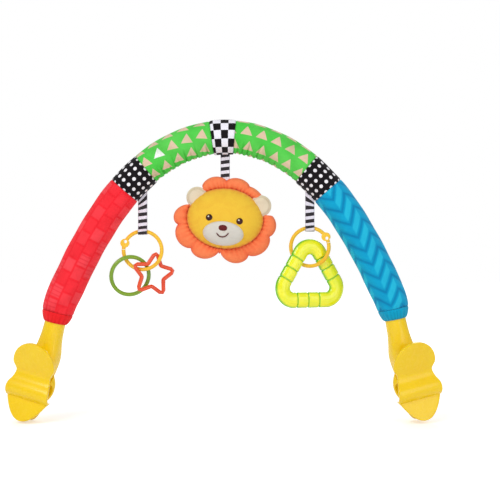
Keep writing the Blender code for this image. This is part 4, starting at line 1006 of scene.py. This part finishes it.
def hanging_ribbon(name, along, length, looped, phase):
    """One ribbon, doubled: down in front, round the wire where it has a loop, and up behind.
    Phase shifts its stripes."""
    top, tangent = ribbon_start(along)
    slope = tangent.z / tangent.x
    spread = ribbon_layer / 2 + ribbon_gap
    loop = ribbon_loop + ribbon_layer / 2 if looped else spread
    path, straight = [], 40
    for level in np.linspace(sewn_in, -length, straight):
        wide = spread + (loop - spread) * max(0.0, (-level / length - 0.86) / 0.14) ** 2
        path.append((-wide, level))
    for turn in np.linspace(0.0, math.pi, 14)[1:-1]:
        path.append((-loop * math.cos(turn), -length - loop * math.sin(turn)))
    path += [(-y, z) for y, z in reversed(path[:straight])]
    path = np.array(path)
    run = np.concatenate([[0.0], np.cumsum(np.hypot(*np.diff(path, axis=0).T))])
    ahead = np.gradient(path, axis=0)
    ahead /= np.linalg.norm(ahead, axis=1)[:, None]
    normal = np.stack([ahead[:, 1], -ahead[:, 0]], -1)
    widths = np.linspace(-1.0, 1.0, 13)
    rings = []
    for (y, z), (ny, nz) in zip(path, normal):
        depth = min(1.0, max(0.0, -z / length))
        ring = []
        for sign in (1, -1):
            for w in (widths if sign > 0 else widths[::-1]):
                half = ribbon_layer / 2 * (1 - 0.5 * abs(w) ** 8) * sign
                x = w * ribbon_width / 2
                lift = x * slope * max(0.0, 1 - depth * 2.2) ** 1.5
                ring.append((top.x + x, top.y + y + ny * half,
                             top.z + z + nz * half + lift))
        rings.append(ring)
    across = np.concatenate([widths, widths[::-1], widths[:1]]) * ribbon_width / 2
    cloth_map = np.stack(np.meshgrid(run + phase, across, indexing="ij"), -1)
    piece = skin(name, rings, cloth_map)
    return piece, float(run[-1])


grosgrain = striped_grosgrain()
for node, along, length, looped, phase in (
        ("left_ribbon", -side_ribbon_place, 0.0389, True, 0.0),
        ("right_ribbon", side_ribbon_place, 0.0350, True, 0.0),
        ("lion_ribbon", lion_ribbon_place, lion_ribbon_length, False, ribbon_stripe / 2)):
    piece, run = hanging_ribbon("woven_" + node, along, length, looped, phase)
    fit(piece, grosgrain, node, node)


# The snap links, the green ring and the star: injection-moulded plastic, glossy and slightly
# waxy. The links snap shut through the ribbons' loops and the toys. The CAD solids stay.

link_yellow = moulded_plastic("link_yellow_plastic", colour(252, 204, 62),
                              colour(247, 190, 48), 0.3, coat=0.2, glow=0.15)
ring_green = moulded_plastic("ring_green_plastic", colour(134, 172, 46), colour(118, 156, 36),
                             0.3, coat=0.2, glow=0.1)
star_orange = moulded_plastic("star_orange_plastic", colour(238, 86, 42), colour(226, 70, 32),
                              0.3, coat=0.2, glow=0.1)
dress("left_link_ring", link_yellow)
dress("right_link_ring", link_yellow)
dress("green_ring", ring_green)
dress("orange_star", star_orange)


# The teether: a soft hollow triangle, moulded in clear yellow-green gel with grooves to chew.
# It is thick; its crown is yellow, and its rims and grooves are painted a deeper green, as painted
# shade and as painted light that runs through the gel.

gel_middle = Vector(next(joint["pos_m"] for joint in frame["joints"]
                         if joint["name"] == "teether_turn"))
gel_turn = math.radians(22.0)
gel_tube, gel_corner, gel_half_depth = 0.0090, 0.0137, 0.0052
gel_top, gel_bottom, gel_half_base = -0.0135, -0.0472, 0.0204
gel_corners = np.array([(0.0, gel_top), (-gel_half_base, gel_bottom),
                        (gel_half_base, gel_bottom)])
groove_deep, groove_half, groove_pitch = 0.0009, 0.0009, 0.0138
groove_middles = (0.0020, -0.0030, 0.0)


def whole_teether():
    """The triangle's tube, swept round three corners and three grooved sides."""
    edges = np.roll(gel_corners, -1, 0) - gel_corners
    lengths = np.linalg.norm(edges, axis=1)
    edges /= lengths[:, None]
    outward = np.stack([edges[:, 1], -edges[:, 0]], -1)
    stations = []
    for side in range(3):
        before, here = outward[side - 1], outward[side]
        for share in np.linspace(0, 1, 27)[:-1]:
            angle = math.acos(float(np.clip(before @ here, -1, 1)))
            normal = (before * math.sin((1 - share) * angle) + here * math.sin(share * angle))
            normal /= np.linalg.norm(normal)
            stations.append((gel_corners[side] + normal * gel_corner, normal, 0.0))
        for run in np.arange(0.0, lengths[side], 0.0004):
            from_grooves = [run - lengths[side] / 2 - groove_middles[side] - k * groove_pitch
                            for k in (-1, 0, 1)]
            groove = max(math.exp(-(away / groove_half) ** 2) for away in from_grooves)
            stations.append((gel_corners[side] + here * gel_corner + edges[side] * run, here,
                             groove))
    turns = turns_round(40) + math.pi / 40
    place = Matrix.Translation(gel_middle) @ Matrix.Rotation(gel_turn, 4, "Z")
    rings, shade = [], []
    for point, normal, groove in stations:
        across = (gel_tube - groove_deep * groove) * np.cos(turns)
        deep = (gel_half_depth - groove_deep * groove) * np.sin(turns)
        rings.append([place @ Vector((point[0] + normal[0] * a, d, point[1] + normal[1] * a))
                      for a, d in zip(across, deep)])
        # Painted shade and light: the rims are painted greener, more on one side of each arm than
        # the other, and the grooves too.
        rim = np.clip((abs(np.cos(turns)) - 0.70) / 0.26, 0, 1) ** 1.5
        rim *= np.where(np.cos(turns) > 0, 0.75 + 0.25 * (normal[0] < 0),
                        0.65 + 0.25 * (normal[0] > 0))
        shade.append(np.clip(rim + 0.85 * groove, 0, 1))
    return skin("gel_teether", np.array(rings), ends="joined", painted_shades=shade)


def clear_gel():
    """Soft clear gel: clouded colour inside, and painted shade and light: deep green painted on
    the rims and in the grooves.
    """
    material, tree, shader = new_material("clear_gel")
    place = place_of(tree)
    cloud = noise(tree, place, 75.0, 3.0)
    crown = blend_colours(tree, between(tree, cloud, 0.35, 0.7), colour(254, 248, 24),
                          colour(240, 246, 22))
    feed(tree, shader, {
        "Base Color": blend_colours(tree, painted_shade_of(tree), crown, colour(96, 196, 22)),
        "Roughness": calc(tree, "MULTIPLY_ADD", noise(tree, place, 240.0, 3.0), 0.08, 0.14),
        "Normal": bumps(tree, cloud, 0.10, 0.0005), "Coat Weight": 0.4,
        "Coat Roughness": 0.08, "Subsurface Weight": 0.2, "Subsurface Scale": 0.003,
        "Subsurface Radius": (1.0, 1.0, 0.2)})
    return material


fit(whole_teether(), clear_gel(), "teether", "teether")


# The lion's head: plush cushions sewn to both faces of a stuffed, scalloped mane. The face is
# yellow plush with cream ears tucked under its edge, a flat cream muzzle, a stitched smile
# and a felt nose; the eyes are moulded and pressed through the plush.

lion_drop = 0.0437
lion_middle = ribbon_start(lion_ribbon_place)[0]
lion_middle.z -= lion_ribbon_length + lion_drop
lion_tilt = math.radians(-5.0)
lion_ear_radius, lion_ear_deep = 0.0124, 0.0050
lion_eyes = {"left": (-0.0177, -0.0006), "right": (0.0170, -0.0020)}
mane_valley, mane_rim, mane_stuffing, mane_fold = 0.0434, 0.0034, 0.0042, 0.0008
face_across, face_up, face_deep, face_base = 0.0436, 0.0345, 0.0200, 0.0037
fullness, tuck_depth = 0.55, 0.0008


def lion_points(x, z, depth):
    """Places on the tilted head; depth is how far in front of its middle plane."""
    x, z, depth = np.broadcast_arrays(np.asarray(x, float), z, depth)
    c, s = math.cos(lion_tilt), math.sin(lion_tilt)
    return np.stack([lion_middle.x + c * x - s * z, arch_plane - depth,
                     lion_middle.z + s * x + c * z], -1)


def face_proud(x, z):
    """How far the stuffed face stands in front of the middle plane at x, z."""
    u, v = x / face_across, z / face_up
    stuffing = np.clip(1 - u ** 2 - v ** 2, 0, 1) ** fullness
    return face_base + face_deep * stuffing


def sewn_plush(name, pile, deep, nap, sheen_tint, depth=0.0007):
    """Short plush cut and sewn by hand: pile that lies this way and that, and painted shade,
    darker in folds and at seams.
    """
    material, tree, shader = new_material(name)
    place = place_of(tree)
    brushed, hairs = noise(tree, place, 70.0, 4.0, 0.8), noise(tree, place, nap, 3.0)
    # Random tone of the pile, and painted shade towards the deep colour in folds and at seams.
    tone_and_painted_shade = calc(tree, "MULTIPLY_ADD", between(tree, brushed, 0.4, 0.72), 0.22, painted_shade_of(tree))
    tone_and_painted_shade = calc(tree, "MULTIPLY_ADD", between(tree, hairs, 0.35, 0.7), 0.12, tone_and_painted_shade)
    height = calc(tree, "MULTIPLY_ADD", hairs, 0.6, brushed)
    feed(tree, shader, {
        "Base Color": blend_colours(tree, calc(tree, "MINIMUM", tone_and_painted_shade, 1.0), pile, deep),
        "Normal": bumps(tree, height, 0.4, depth), "Roughness": 0.9,
        "Specular IOR Level": 0.2, "Sheen Weight": 0.3, "Sheen Roughness": 0.45,
        "Sheen Tint": sheen_tint})
    return material


lion_orange = sewn_plush("lion_orange_plush", colour(255, 138, 88), colour(238, 78, 44), 900.0,
                         (1.0, 0.75, 0.6, 1.0))
lion_yellow = sewn_plush("lion_yellow_plush", colour(246, 200, 62), colour(232, 160, 44), 1100.0,
                         (1.0, 0.9, 0.6, 1.0))
lion_cream = sewn_plush("lion_cream_plush", colour(232, 216, 190), colour(200, 178, 148), 1100.0,
                        (1.0, 1.0, 0.95, 1.0))
lion_muzzle_pile = sewn_plush("lion_muzzle_plush", colour(222, 217, 208), colour(200, 192, 180),
                              1300.0, (1.0, 1.0, 1.0, 1.0), 0.00042)


def sewn_dome(name, across, up, deep, side, tucks, mark=None):
    """A stuffed cushion sewn down along an oval. Side is -1 for one on the lion's back. Mark
    gives how far the cloth is drawn in and how much shade is painted at each place."""
    turns = turns_round(160)
    rings, shade = [], []
    for share in (0.01, 0.2, 0.6, 0.9, 0.985):
        rings.append(lion_points(share * across * np.cos(turns), share * up * np.sin(turns),
                                 side * face_base))
        shade.append(np.zeros(160))
    for share in np.sin(np.linspace(1.0, 0.0, 44) * math.pi / 2):
        x, z = share * across * np.cos(turns), share * up * np.sin(turns)
        tuck = 0.5 - 0.5 * np.cos(turns * tucks + np.sin(turns * 3))
        inward, darker = mark(x, z) if mark else (0.0, 0.0)
        proud = (face_base + deep * (1 - share ** 2) ** fullness - tuck_depth * share ** 6 * tuck
                 - inward + 0.00025 * np.sin(x * 160 + 1.0) * np.sin(z * 190))
        rings.append(lion_points(x, z, side * proud))
        # Painted shade: darker towards the sewn edge, in the tucks and where the mark paints it.
        shade.append(np.clip(0.75 * share ** 24 + 0.5 * tuck * share ** 14 + darker, 0, 1))
    rings[-1] = rings[-1].mean(0) + (rings[-2] - rings[-2].mean(0)) * 0.1
    return skin(name, rings, painted_shades=shade)


def face_mark(x, z):
    """The dart under the muzzle and the dimples round the eyes: how far each draws the cloth in,
    and the shade painted into each.
    """
    dart = np.exp(-((x + 0.0021) / 0.0011) ** 2) / (1 + np.exp((z + 0.0245) / 0.0010))
    dimple = sum(np.exp(-(((x - ex) ** 2 + (z - ez) ** 2) / 0.0052 ** 2))
                 for ex, ez in lion_eyes.values())
    return 0.0014 * dart + 0.0004 * dimple, 0.8 * dart + 0.12 * dimple


# Each lobe: its first and last degree, how far out it starts and ends, and how far it bulges.
mane_lobes = [(93, 131, 0.0434, 0.0450, 0.0060), (163, 191.8, 0.0434, 0.0540, 0.0098),
              (191.8, 225.6, 0.0540, 0.0513, 0.0077), (225.6, 264.6, 0.0513, 0.0375, 0.0085),
              (266, 307.3, 0.0375, 0.0493, 0.0088), (307.3, 342.8, 0.0493, 0.0544, 0.0069),
              (342.8, 369.9, 0.0544, 0.0522, 0.0061), (36, 58, 0.0498, 0.0466, 0.0010),
              (58, 93, 0.0466, 0.0434, 0.0042)]


def mane_edge(turns):
    """The mane's outline: how far out it reaches at each turn, and where along its lobe."""
    degrees = np.degrees(turns) % 360
    reach = np.full(len(turns), mane_valley)
    through = np.zeros(len(turns))
    for start, end, first, last, bulge in mane_lobes:
        at = np.where(degrees < start, degrees + 360, degrees)
        share = (at - start) / (end - start)
        inside = (share >= 0) & (share <= 1)
        share = np.clip(share, 0, 1)
        out = first + (last - first) * share + bulge * np.sin(math.pi * share) ** 0.6
        reach = np.where(inside, out, reach)
        through = np.where(inside, np.sin(math.pi * share), through)
    return reach, through


def whole_mane():
    """Two scalloped cuts of plush sewn together, turned out and stuffed. Thread holds them
    together behind the face, and folds run out from there into each lobe."""
    turns = turns_round(720)
    reach, through = mane_edge(turns)
    for _ in range(3):
        reach = (np.roll(reach, 1) + 2 * reach + np.roll(reach, -1)) / 4
    inner = 1.0 / np.sqrt((np.cos(turns) / (face_across * 1.015)) ** 2
                          + (np.sin(turns) / (face_up * 1.015)) ** 2)
    inner = np.minimum(inner, reach - 0.0008)
    levels = np.concatenate([np.linspace(0.05, 0.92, 8), 1 + np.linspace(0, 1, 26)])
    fronts, shade = [], []
    folds = 0.5 + 0.5 * np.cos(turns * 53 + 1.7 * np.sin(turns * 7) + 0.8 * np.sin(turns * 11))
    for level in levels:
        out = min(level, 1.0) * inner + max(level - 1, 0.0) * (reach - inner)
        share = max(level - 1, 0.0)
        bulge = (4 * share * (1 - share)) ** 0.6 * (0.55 + 0.45 * through)
        rim = mane_rim * (1 - share ** 5) ** 0.5 if share < 1 else 0.0
        fold = mane_fold * folds * math.exp(-share / 0.35) * (level >= 1)
        thick = (rim + mane_stuffing * bulge - fold) if level >= 1 else np.full(720, mane_rim)
        fronts.append((out, thick))
        # Painted shade: darker in the folds, in the valleys between lobes and at the outer seam.
        shade.append(np.clip(0.55 * folds * math.exp(-share / 0.3) * (level >= 1)
                             + 0.55 * (1 - through) ** 2 * share ** 1.5
                             + 0.5 * share ** 14, 0, 1))
    rings = [lion_points(out * np.cos(turns), out * np.sin(turns), thick)
             for out, thick in fronts]
    rings += [lion_points(out * np.cos(turns), out * np.sin(turns), -thick)
              for out, thick in fronts[-2::-1]]
    return skin("lion_head_mane", rings, painted_shades=shade + shade[-2::-1])


def sewn_ear(name, x, z):
    """A round, lightly stuffed ear whose lower edge goes under the face's seam."""
    turns = turns_round(96)
    rings, shade = [], []
    c, s = lion_ear_radius * np.cos(turns), lion_ear_radius * np.sin(turns)
    for share in np.sin(np.linspace(0.02, 1, 22) * math.pi / 2):
        dish = 0.0012 * math.exp(-(share / 0.55) ** 2)
        thick = lion_ear_deep * (1 - share ** 2) ** 0.5 - dish
        rings.append(lion_points(x + c * share, z + s * share, face_base + thick))
        # Painted shade: a dark ring near the ear's edge.
        shade.append(np.full(96, 0.55 * math.exp(-((share - 0.8) / 0.07) ** 2)))
    rings += [lion_points(x + c * share, z + s * share, face_base - 0.0002)
              for share in (0.97, 0.6, 0.05)]
    return skin(name, rings, painted_shades=shade + [np.zeros(96)] * 3)


def flat_patch(name, x, z, across, up, proud, squareness=2.0, crown=0.4):
    """A small piece that lies on the face and follows its curve."""
    turns = turns_round(96)
    c, s = np.cos(turns), np.sin(turns)
    unit = np.stack([np.sign(c) * abs(c) ** (2 / squareness),
                     np.sign(s) * abs(s) ** (2 / squareness)])
    rings, shade = [], []
    for share in (0.03, 0.25, 0.45, 0.62, 0.76, 0.87, 0.94, 0.98, 1.0):
        px, pz = x + across * share * unit[0], z + up * share * unit[1]
        lift = proud * (1 - share ** 6) ** 0.5 * (1 - crown + crown * (1 - share ** 2))
        rings.append(lion_points(px, pz, face_proud(px, pz) + lift))
        # Painted shade at the patch's sewn edge.
        shade.append(np.full(96, 0.5 * share ** 20))
    for share in (0.97, 0.5, 0.03):
        px, pz = x + across * share * unit[0], z + up * share * unit[1]
        rings.append(lion_points(px, pz, face_proud(px, pz) - 0.0007))
        shade.append(np.zeros(96))
    return skin(name, rings, painted_shades=shade)


def sewn_line(name, points, radius):
    """A thick thread laid along points on the face."""
    points = np.asarray(points)
    ahead = np.gradient(points, axis=0)
    ahead /= np.linalg.norm(ahead, axis=1)[:, None]
    side = np.cross(ahead, np.array([0.0, -1.0, 0.0]))
    side /= np.linalg.norm(side, axis=1)[:, None]
    front = np.cross(side, ahead)
    turns = turns_round(10)
    run = np.linspace(0, 1, len(points))
    size = radius * (1 + 0.15 * np.sin(run * 60)) * np.clip(np.sin(run * math.pi) * 6, 0.15, 1)
    rings = (points[:, None] + size[:, None, None]
             * (np.cos(turns)[None, :, None] * side[:, None]
                + np.sin(turns)[None, :, None] * front[:, None]))
    return skin(name, rings)


lion_face = sewn_dome("lion_head_face", face_across, face_up, face_deep, 1, 34, face_mark)
lion_back = sewn_dome("lion_head_back", 0.0405, 0.0320, 0.0190, -1, 30)
lion_nose_felt = moulded_plastic("lion_nose_felt", colour(112, 26, 30), colour(88, 18, 22), 0.7)
lion_eye_resin = moulded_plastic("lion_eye_resin", colour(62, 12, 6), colour(44, 8, 4), 0.3)
lion_mouth_thread = moulded_plastic("lion_mouth_thread", colour(96, 26, 30), colour(74, 18, 22),
                                    0.7)
smile = np.array([(-0.0078 + 0.0138 * s, -0.0218 + 0.0046 * abs(2 * s - 1) ** 2.4 + 0.001 * s)
                  for s in np.linspace(0, 1, 40)])
smile_points = lion_points(smile[:, 0], smile[:, 1],
                           face_proud(smile[:, 0], smile[:, 1]) + 0.0046)
lion_pieces = [
    (whole_mane(), "lion_mane", lion_orange), (lion_face, "lion_face", lion_yellow),
    (lion_back, "lion_back", lion_orange),
    (sewn_ear("lion_head_left_ear", -0.0340, 0.0214), "lion_left_ear", lion_cream),
    (sewn_ear("lion_head_right_ear", 0.0392, 0.0180), "lion_right_ear", lion_cream),
    (flat_patch("lion_head_muzzle", -0.0004, -0.0174, 0.0232, 0.0138, 0.0045), "lion_muzzle",
     lion_muzzle_pile),
    (flat_patch("lion_head_nose", -0.0010, -0.0114, 0.0062, 0.0042, 0.0062, 2.2), "lion_nose",
     lion_nose_felt),
    *((flat_patch(f"lion_head_{side}_eye", *place, 0.0037, 0.0037, 0.0014, crown=0.8),
       f"lion_{side}_eye", lion_eye_resin) for side, place in lion_eyes.items())]
for piece, node, material in lion_pieces:
    fit(piece, material, "lion", node)
smile_and_glints = [(sewn_line("lion_head_smile", smile_points, 0.0007), lion_mouth_thread)]
# Painted highlights: a small white dome on each eye where the lamp's reflection would shine.
for side, (x, z) in lion_eyes.items():
    glint = flat_patch(f"lion_head_{side}_glint", x - 0.0008, z + 0.0010, 0.0011, 0.0011, 0.0021,
                       crown=0.3)
    smile_and_glints.append((glint, white_nylon))
for piece, material in smile_and_glints:
    piece.data.materials.append(material)
    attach(piece, "lion")


# The studio: a pale floor under the clips' noses, a white surround and large soft lamps. The
# camera stands level in front of the arch, and its frame shows what the photograph's shows.

floor_height = cad_box[0][2] - 0.0006
floor_mesh = bpy.data.meshes.new("floor")
floor_mesh.from_pydata([(-4, -3, floor_height), (4, -3, floor_height), (4, 5, floor_height),
                        (-4, 5, floor_height)], [], [(0, 1, 2, 3)])
floor = placed("floor", floor_mesh)
material, tree, shader = new_material("pale_floor")
paper = noise(tree, place_of(tree), 60.0, 3.0)
rays = add(tree, "LightPath").outputs
seen = calc(tree, "MAXIMUM", rays["Is Camera Ray"], calc(
    tree, "MAXIMUM", rays["Is Glossy Ray"], rays["Is Transmission Ray"]))
apart = add(tree, "VectorMath", {0: place_of(tree)}, operation="LENGTH").outputs["Value"]
far = calc(tree, "MULTIPLY_ADD", between(tree, apart, 0.3, 1.1), 0.35, 0.35)
feed(tree, shader, {
    "Base Color": blend_colours(tree, paper, (0.93, 0.93, 0.93, 1), (0.96, 0.96, 0.96, 1)),
    "Emission Color": (1, 1, 1, 1), "Emission Strength": calc(tree, "MULTIPLY", seen, far),
    "Roughness": 0.9, "Specular IOR Level": 0.1})
floor_mesh.materials.append(material)

world = bpy.data.worlds.new("studio")
bpy.context.scene.world = world
world.use_nodes = True
tree = world.node_tree
tree.nodes.clear()
rays = add(tree, "LightPath").outputs
seen = calc(tree, "MAXIMUM", rays["Is Camera Ray"], rays["Is Transmission Ray"])
ambient = add(tree, "Background", {"Color": (1, 1, 1, 1), "Strength": 0.55})
white = add(tree, "Background", {"Color": (1, 1, 1, 1), "Strength": 1.0})
both = add(tree, "MixShader", {0: seen, 1: ambient.outputs[0], 2: white.outputs[0]})
add(tree, "OutputWorld", {"Surface": both.outputs[0]})

for name, at, size, power in (("key_lamp", (-0.7, -1.1, 1.1), 0.9, 9.0),
                              ("fill_lamp", (1.0, -1.2, 0.5), 1.0, 4.0),
                              ("back_lamp", (0.3, 1.3, 1.0), 0.9, 5.0)):
    lamp = bpy.data.lights.new(name, "AREA")
    lamp.shape = "DISK"
    lamp.size = size
    lamp.energy = power
    holder = placed(name, lamp)
    holder.location = at
    holder.rotation_euler = (Vector((0, 0, 0.15)) - Vector(at)).to_track_quat("-Z", "Y").to_euler()

pixel = 0.00115
camera_back = 1.2
camera = bpy.data.cameras.new("camera")
camera.sensor_width = 36.0
camera.lens = camera.sensor_width * (camera_back + arch_plane) / (500 * pixel)
viewer = placed("camera", camera)
viewer.location = (0.0273, -camera_back, 0.159)
viewer.rotation_euler = (math.radians(90.0), 0.0, 0.0)
bpy.context.scene.camera = viewer
bpy.context.scene.view_settings.view_transform = "Standard"
